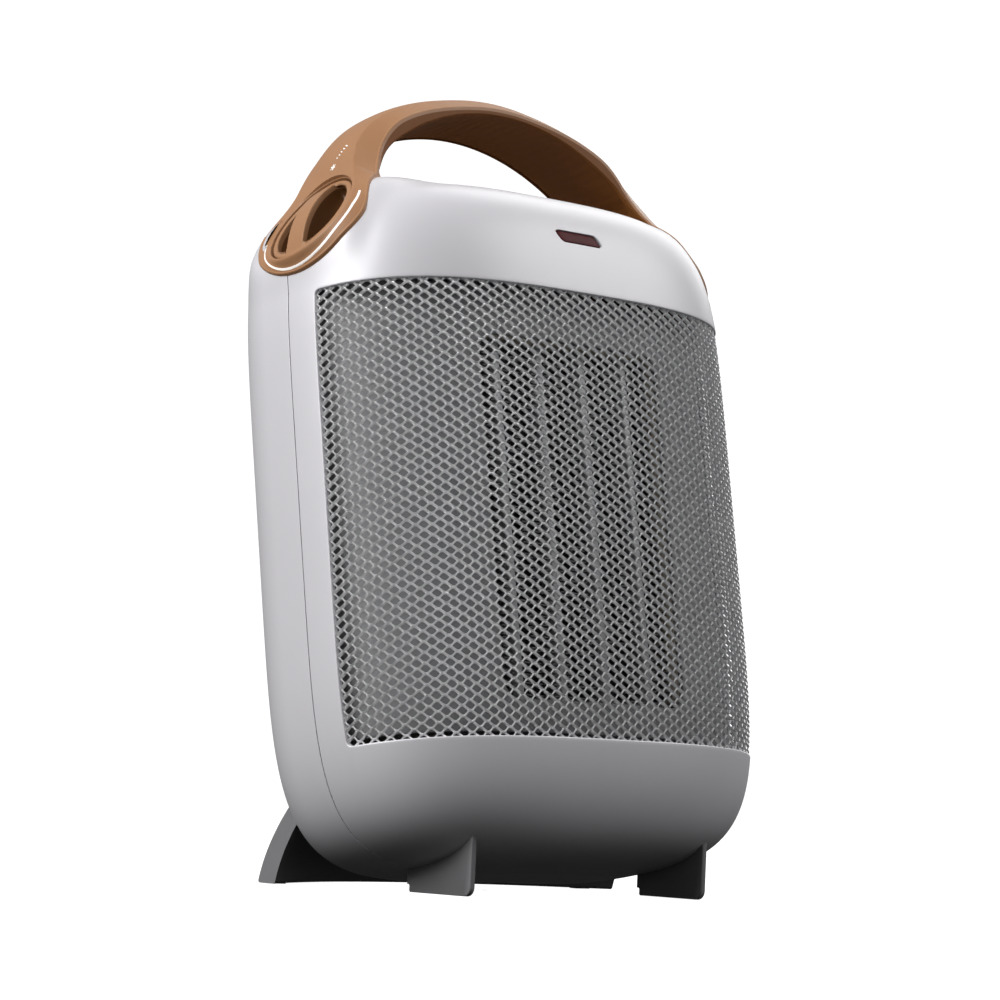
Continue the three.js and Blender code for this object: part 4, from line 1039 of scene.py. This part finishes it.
def knob(name, node, body, hand):
    """A round control with a raised grip across it and a scoop on each side of the grip."""
    sheet, scoops = Sheet(), Sheet()
    rim = KNOB_R - KNOB_ROUND
    grip_edge = 4.0
    v = np.sort(np.append(-rim * np.cos(np.linspace(0, math.pi, 60)), [-grip_edge, grip_edge]))
    u = np.linspace(-1, 1, 61) * np.sqrt((rim ** 2 - v ** 2).clip(0))[:, None]
    v_grid = np.broadcast_to(v[:, None], u.shape)
    grid = control_point(u, v_grid, knob_height(u, v_grid), hand)
    ids = sheet.add(grid)
    flip = np.array([-hand, 1, 1])
    axis, along, across = AXIS * flip, GRIP_UP * flip, GRIP_SIDE * flip
    centre = control_point(0, 0, 0, hand)

    def lift(points):
        u, v = (points - centre) @ along, (points - centre) @ across
        return control_point(u, v, knob_height(u, v), hand)

    skip = np.zeros((grid.shape[0] - 1, grid.shape[1] - 1), bool)
    inside = int(np.argmin(np.abs(v - grip_edge)))
    outside = int(np.argmin(np.abs(v - (POCKET_R + 0.7))))
    last_row = len(v) - 1
    for side in (-1, 1):
        window = (inside, 4, outside, 56) if side > 0 else (last_row - outside, 4, last_row - inside, 56)
        u, v = scoop_loop(side).T
        loop = control_point(u, v, knob_height(u, v), hand)
        mask, _, last = punch(sheet, grid, ids, loop, lift, lambda p: np.broadcast_to(axis, p.shape),
                              rings=5, fillet=0.45, depth=2.2, window=window)
        skip |= mask
        scoop(scoops, last, control_point(0, side * 9.5, 0, hand), centre, axis)
    sheet.quads(ids, skip=skip)
    knob_skirt(sheet, grid, ids, rim, hand)
    # The scoops wear the darker brown as painted shade.
    make(f"{name}_scoops", scoops, scoop_shade_brown, body)
    return make(name, sheet, caramel, body, replaces=[node], sharp=32)


def scoop(sheet, edge, middle, centre, axis):
    """The bowl of a finger scoop, from its edge down to its middle."""
    flat = edge - ((edge - centre) @ axis)[:, None] * axis
    strip = [sheet.add(edge)]
    for share, depth in ((0.02, 4.0), (0.07, 5.5), (0.16, 6.4), (0.3, 6.9), (0.5, 7.2), (0.75, 7.4)):
        strip.append(sheet.add(flat + (middle - flat) * share - axis * depth))
    sheet.quads(np.array(strip), closed=True)
    sheet.fan(strip[-1], middle - axis * 7.45)


def knob_skirt(sheet, grid, ids, rim, hand):
    """The knob's rolled rim, its side with a fine groove low down, and its underside."""
    border = np.concatenate([ids[:, -1], ids[::-1, 0][1:-1]])
    where = np.concatenate([grid[:, -1], grid[::-1, 0][1:-1]])
    centre = control_point(0, 0, 0, hand)
    axis = AXIS * [-hand, 1, 1]
    spokes = where - centre
    spokes = unit(spokes - (spokes @ axis)[:, None] * axis)
    profile = [(rim + KNOB_ROUND * math.sin(a), KNOB_TOP - KNOB_ROUND * (1 - math.cos(a)))
               for a in np.linspace(0, math.pi / 2, 6)[1:]]
    profile += [(KNOB_R, -6), (KNOB_R - 0.35, -6.3), (KNOB_R - 0.35, -6.9), (KNOB_R, -7.2),
                (KNOB_R, KNOB_BOTTOM + 0.4), (KNOB_R - 0.4, KNOB_BOTTOM), (3.35, KNOB_BOTTOM),
                (3.35, KNOB_BOTTOM + 2.4)]
    strip = [border] + [sheet.add(centre + spokes * radius + axis * height) for radius, height in profile]
    sheet.quads(np.array(strip), closed=True)
    sheet.fan(strip[-1], centre + axis * (KNOB_BOTTOM + 2.4))


# ---- printed marks --------------------------------------------------------------------------
INK, INK_SINK = 0.05, 0.1


def mark(points, width, side):
    """A thin printed line through (up, rear) points measured from a control, laid on the strap."""
    points = np.array(points, float)
    along = unit(np.gradient(points, axis=0))
    across = np.stack([-along[:, 1], along[:, 0]], -1) * width / 2
    rows = []
    for share, height in ((-1, -INK_SINK), (-1, INK), (0, INK), (1, INK), (1, -INK_SINK)):
        at = points + across * share
        s, y = side * (LOBE_START - at[:, 0]), CONTROL[1] + at[:, 1]
        rows.append(strap_point(s, y, strap_height(s, y) + height))
    return np.stack(rows, 1)


def lobe_marks(side, name, lines):
    sheet = Sheet()
    for points, width in lines:
        sheet.quads(sheet.add(mark(points, width, side)))
    return make(name, sheet, white_print, "heater")


def ring_arc(radius, start, end):
    """A printed arc round a control, in degrees from the strap's direction."""
    a = np.radians(np.arange(start, end + 2.0, 2.0))
    return np.stack([radius * np.cos(a), -radius * np.sin(a)], -1)


def flake(centre, size):
    """A six-armed frost sign."""
    lines = []
    for k in range(3):
        a = math.radians(60 * k + 15)
        arm = np.array([math.cos(a), math.sin(a)]) * size
        lines.append((np.linspace(centre - arm, centre + arm, 5), 0.42))
    return lines


def wedge(start, end, widths):
    """A row of short bars that grow along a line, for less to more."""
    lines = []
    along = unit(end - start)
    across = np.array([-along[1], along[0]])
    for k, width in enumerate(widths):
        middle = start + (end - start) * k / (len(widths) - 1)
        lines.append((np.linspace(middle - across * width, middle + across * width, 5), 0.5))
    return lines


# ---- indicator ------------------------------------------------------------------------------
def lens():
    half = LENS_H / 2 - 0.3
    outline = slanted(LENS_W / 2 - 0.3, half, LENS_CORNER - 0.3)
    sheet, rings = Sheet(), []
    for share, sink in ((0, 5.0), (0, 0.9), (0.03, 0.62), (0.08, 0.45), (0.2, 0.35), (0.4, 0.3), (0.7, 0.28)):
        ring = outline * [1 - share, 1]
        ring[:, 1] = LENS_Z + (ring[:, 1] - LENS_Z) * (1 - share)
        at = np.stack([ring[:, 0], wall_y(ring[:, 0], ring[:, 1]), ring[:, 1]], -1)
        rings.append(sheet.add(at + [0, sink, 0]))
    sheet.quads(np.array(rings), closed=True)
    sheet.fan(rings[-1], np.array([0, wall_y(0.0, LENS_Z) + 0.28, LENS_Z]))
    return make("indicator_window", sheet, red_lens, "heater", replaces=["indicator_lens"])


# ---- feet -----------------------------------------------------------------------------------
FOOT_HALF, FOOT_TIP, FOOT_MID, FOOT_H, FOOT_RIM, FOOT_MID_RIM = 84.0, 28.3, 56.5, 31.0, 10.3, 6.0


def foot_front(x):
    """The depth of the rear foot's inner face at x."""
    return FOOT_MID + (FOOT_TIP - FOOT_MID) * np.abs(x / FOOT_HALF) ** 2.2


def rear_foot():
    """The flared skirt behind: a curved wall that leans in as it rises, rounded along its lower edge."""
    spread = np.linspace(-1, 1, 141)
    x = FOOT_HALF * (0.25 * np.sin(spread * math.pi / 2) + 0.75 * spread)
    share = np.abs(x / FOOT_HALF)
    bottom = 0.25 + 0.2 * (1 - share ** 2)
    rim = FOOT_MID_RIM + (FOOT_RIM - FOOT_MID_RIM) * share ** 2
    front, edge = foot_front(x), 1.2
    heights = np.concatenate([[0, 0.25, 0.6, edge], np.linspace(2.5, FOOT_H, 16)])
    outer, inner = [], []
    for h in heights:
        z = bottom + (FOOT_H - bottom) * h / FOOT_H
        lean = 0.25 * z + 0.012 * z * z
        inset = edge - math.sqrt(edge ** 2 - max(0, edge - h) ** 2)
        outer.append(np.stack([x, front + rim - inset - lean, z], -1))
        inner.append(np.stack([x, front + 0.4 * (h < 0.6) - lean, z], -1))
    sheet = Sheet()
    ids = sheet.add(np.stack(outer + inner[::-1], 1))
    sheet.quads(ids, closed=True)
    for end in (0, -1):
        ring = ids[end].tolist()
        for k in range(len(heights) - 1):
            sheet.faces.append([ring[k], ring[k + 1], ring[-2 - k], ring[-1 - k]])
    return make("rear_skirt_foot", sheet, foot_grey, "heater", standing=True,
                replaces=["rear_foot"], sharp=50)


def front_fin(side):
    """A thin upright fin: rounded at its lower front corner, with a small toe behind and a straight top."""
    corner, thick = 3.4, 2.3
    front, rear = FIN_FRONT, -17.4
    outline = [(front + corner * (1 - math.cos(a)), corner * (1 - math.sin(a)))
               for a in np.linspace(0, math.pi / 2, 9)]
    outline += [(rear - 0.5, 0.0), (rear, 0.5), (rear, 2.4), (rear + 0.4, 2.8), (rear + 1.4, 2.9)]
    outline += [(rear + 1.4, 30.0), (front, 30.0)]
    outline = np.array(outline)
    sheet, rings = Sheet(), []
    centre = outline.mean(0)
    for across, inset in ((-1, 0.5), (-0.9, 0.16), (-0.68, 0.0), (0.68, 0.0), (0.9, 0.16), (1, 0.5)):
        shape = outline + unit(centre - outline) * inset
        x = side * 56.8 + across * thick / 2
        rings.append(sheet.add(np.stack([np.full(len(shape), x), shape[:, 0], shape[:, 1]], -1)))
    sheet.quads(np.array(rings), closed=True)
    for ring in (rings[0], rings[-1]):
        sheet.faces.append([int(i) for i in ring])
    where = "left" if side < 0 else "right"
    return make(f"front_fin_{where}", sheet, foot_grey, "heater", standing=True,
                replaces=[f"front_foot_{where}"])


# ---- the rest: the CAD shapes with their edges eased ----------------------------------------
def eased(node, name, material, radius, angle=35):
    """A CAD shape with its sharp edges bevelled."""
    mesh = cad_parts[node].data.copy()
    mesh.name = name
    bm = bmesh.new()
    bm.from_mesh(mesh)
    bmesh.ops.remove_doubles(bm, verts=bm.verts, dist=1e-6)
    bmesh.ops.dissolve_limit(bm, angle_limit=math.radians(1.0), verts=bm.verts, edges=bm.edges)
    sharp = [e for e in bm.edges if len(e.link_faces) == 2 and e.calc_face_angle(0) > math.radians(angle)]
    bmesh.ops.bevel(bm, geom=sharp, offset=radius * MM, segments=2, profile=0.5, affect="EDGES",
                    clamp_overlap=True)
    bmesh.ops.triangulate(bm, faces=[f for f in bm.faces if len(f.verts) > 4])
    bmesh.ops.recalc_face_normals(bm, faces=bm.faces)
    bm.to_mesh(mesh)
    bm.free()
    return dress(name, mesh, material, "heater", [node], sharp=30)


def turned(name, profile, origin, axis, material, node, around=48):
    """A lathe-turned piece from (radius, distance) pairs along an axis."""
    axis = unit(np.array(axis, float))
    side = unit(np.cross(axis, [0.3, 0.9, 0.2]))
    other = np.cross(axis, side)
    a = np.linspace(0, 2 * math.pi, around, endpoint=False)
    spokes = np.cos(a)[:, None] * side + np.sin(a)[:, None] * other
    sheet = Sheet()
    ids = sheet.add(np.array([np.array(origin) + spokes * r + axis * d for r, d in profile]))
    sheet.quads(ids, closed=True)
    return make(name, sheet, material, "heater", replaces=[node])


def gland():
    """The ribbed collar where a cord would come out."""
    origin = from_floor(GLAND)
    axis = [0, math.cos(LEAN), math.sin(LEAN)]
    profile = [(3.4, -11), (6, -11), (6, -6), (8.5, -6), (8.5, 0.2)]
    for k in range(4):
        base = 0.2 + 0.9 * k
        profile += [(8.5 - 0.1 * k, base), (8.5 - 0.1 * k, base + 0.5), (8.0 - 0.1 * k, base + 0.65),
                    (8.0 - 0.1 * k, base + 0.85)]
    profile += [(7.6, 4.0), (4.2, 4.0), (3.4, 3.4), (3.4, -11)]
    return turned("cord_gland", profile, origin, axis, black, "power_gland")


def case_screw(side, row, where):
    """A round-headed screw in its well, with a hollow in its head."""
    node = f"case_screw_{where}_{'left' if side < 0 else 'right'}"
    profile = [(0.01, -28), (0.9, -27), (1.3, -26), (1.3, -11.2), (3.0, -11.1), (3.1, -10.9), (3.1, -9.9),
               (2.8, -9.3), (2.2, -8.95), (1.5, -8.8), (1.3, -9.1), (1.1, -10.0), (0.01, -10.1)]
    return turned(f"{node}_body", profile, (side * SCREW_X, 0, row), (0, 1, 0), steel,
                  node, around=24)


# ---- assembly -------------------------------------------------------------------------------
front_shell()
rear_shell()
seam_shade_strip()
front_mesh()
outlet_panel()
for index in range(5):
    folded_fins(f"folded_fins_{index + 1}", f"fin_pack_{index + 1}")
handle()
handle_liner()
knob("thermostat_dial", "thermostat_knob", "thermostat", -1)
knob("selector_dial", "selector_knob", "selector", 1)
frost = flake(np.array([25.6, 1.6]), 1.4)
less_to_more = wedge(np.array([29.6, 1.2]), np.array([34.6, -1.4]), (0.4, 0.5, 0.6, 0.7, 0.8))
settings = [(ring_arc(23.0, a, a + 4), 0.9) for a in (-45, 0, 45, 90)]
lobe_marks(-1, "thermostat_marks", [(ring_arc(23.2, 70, 253), 0.65)] + frost + less_to_more)
lobe_marks(1, "selector_marks", frost + settings)
lens()
rear_foot()
for side in (-1, 1):
    front_fin(side)
gland()
for side in (-1, 1):
    for height, where in zip(SCREW_ROWS, ("lower", "upper")):
        case_screw(side, height, where)
for index in range(4):
    eased(f"heater_bar_{index + 1}", f"element_bar_{index + 1}", bar_metal_shaded, 0.35)
eased("heater_frame", "element_frame", mica, 0.4)
eased("rear_grille", "intake_grille", pearl, 0.35, angle=30)


# ---- camera ---------------------------------------------------------------------------------
CAMERA_PLACE = (-0.84193, -0.980581, 0.041111)
CAMERA_TURN, CAMERA_TILT, CAMERA_ROLL = (math.radians(a) for a in (-40.629, 4.718, 2.458))
CAMERA_LENS = 122.596


def camera():
    forward = Vector((-math.sin(CAMERA_TURN) * math.cos(CAMERA_TILT),
                      math.cos(CAMERA_TURN) * math.cos(CAMERA_TILT), math.sin(CAMERA_TILT)))
    right = Vector((math.cos(CAMERA_TURN), math.sin(CAMERA_TURN), 0))
    up = right.cross(forward)
    across = math.cos(CAMERA_ROLL) * right + math.sin(CAMERA_ROLL) * up
    upward = -math.sin(CAMERA_ROLL) * right + math.cos(CAMERA_ROLL) * up
    data = bpy.data.cameras.new("camera")
    data.sensor_width = 36
    data.lens = CAMERA_LENS
    data.clip_start = 0.05
    data.clip_end = 60
    view = bpy.data.objects.new("camera", data)
    pose = Matrix((across, upward, -forward)).transposed().to_4x4()
    pose.translation = Vector(CAMERA_PLACE)
    view.matrix_world = pose
    bpy.context.scene.collection.objects.link(view)
    bpy.context.scene.camera = view


def softbox(name, target, heading_deg, height_deg, distance, size_x, size_y, power):
    """A soft rectangular light that faces a target. Its heading runs from the front towards the right."""
    data = bpy.data.lights.new(name, "AREA")
    data.shape = "RECTANGLE"
    data.size, data.size_y = size_x, size_y
    data.energy = power
    lamp = bpy.data.objects.new(name, data)
    h, e = math.radians(heading_deg), math.radians(height_deg)
    offset = Vector((math.sin(h) * math.cos(e), -math.cos(h) * math.cos(e), math.sin(e)))
    lamp.location = Vector(target) + offset * distance
    lamp.rotation_euler = offset.to_track_quat("Z", "Y").to_euler()
    bpy.context.scene.collection.objects.link(lamp)


def stage():
    """A pale floor that curves up into a backdrop all round."""
    bm = bmesh.new()
    reach, sweep, sides = 4.0, 1.5, 96
    profile = [(0.001, 0.0), (0.8, 0.0), (2.5, 0.0), (reach, 0.0)]
    profile += [(reach + sweep * math.sin(a), sweep - sweep * math.cos(a))
                for a in np.linspace(0, math.pi / 2, 12)[1:]]
    profile += [(reach + sweep, 3.0), (reach + sweep, 6.0)]
    turns = np.linspace(0, 2 * math.pi, sides, endpoint=False)
    rings = [[bm.verts.new((r * math.cos(a), r * math.sin(a), z)) for a in turns] for r, z in profile]
    for a, b in zip(rings, rings[1:]):
        for k in range(sides):
            bm.faces.new((a[k], a[(k + 1) % sides], b[(k + 1) % sides], b[k]))
    mesh = bpy.data.meshes.new("floor")
    bm.to_mesh(mesh)
    bm.free()
    for face in mesh.polygons:
        face.use_smooth = True
    material = bpy.data.materials.new("floor")
    material.use_nodes = True
    shader = material.node_tree.nodes["Principled BSDF"]
    shader.inputs["Base Color"].default_value = (0.3, 0.3, 0.3, 1)
    shader.inputs["Roughness"].default_value = 0.9
    shader.inputs["Specular IOR Level"].default_value = 0.0
    shader.inputs["Emission Color"].default_value = (1, 1, 1, 1)
    shader.inputs["Emission Strength"].default_value = 1.0
    mesh.materials.append(material)
    floor = bpy.data.objects.new("floor", mesh)
    bpy.context.scene.collection.objects.link(floor)
    for flag in ("visible_diffuse", "visible_glossy", "visible_transmission", "visible_shadow"):
        setattr(floor, flag, False)


def surroundings():
    """A studio that is bright above and dim below."""
    world = bpy.data.worlds.new("studio")
    world.use_nodes = True
    nodes, links = world.node_tree.nodes, world.node_tree.links
    place = nodes.new("ShaderNodeTexCoord")
    split = nodes.new("ShaderNodeSeparateXYZ")
    ramp = nodes.new("ShaderNodeValToRGB")
    shift = nodes.new("ShaderNodeMapRange")
    shift.inputs["From Min"].default_value = -1
    links.new(place.outputs["Generated"], split.inputs["Vector"])
    links.new(split.outputs["Z"], shift.inputs["Value"])
    links.new(shift.outputs["Result"], ramp.inputs["Fac"])
    stops = ((0.38, (0.02, 0.02, 0.02, 1)), (0.75, (0.55, 0.55, 0.56, 1)))
    for stop, (position, shade) in zip(ramp.color_ramp.elements, stops):
        stop.position = position
        stop.color = shade
    links.new(ramp.outputs["Color"], nodes["Background"].inputs["Color"])
    nodes["Background"].inputs["Strength"].default_value = 0.8
    bpy.context.scene.world = world


camera()
stage()
surroundings()
softbox("key", (0, 0, 0.17), -92, 34, 1.3, 0.9, 0.9, 23)
softbox("front", (0, 0, 0.2), 52, 32, 1.6, 1.0, 0.9, 12)
softbox("rim", (0, 0, 0.2), 110, 40, 1.5, 0.7, 1.4, 8)
bpy.context.scene.view_settings.view_transform = "Standard"
bpy.context.scene.view_settings.look = "None"
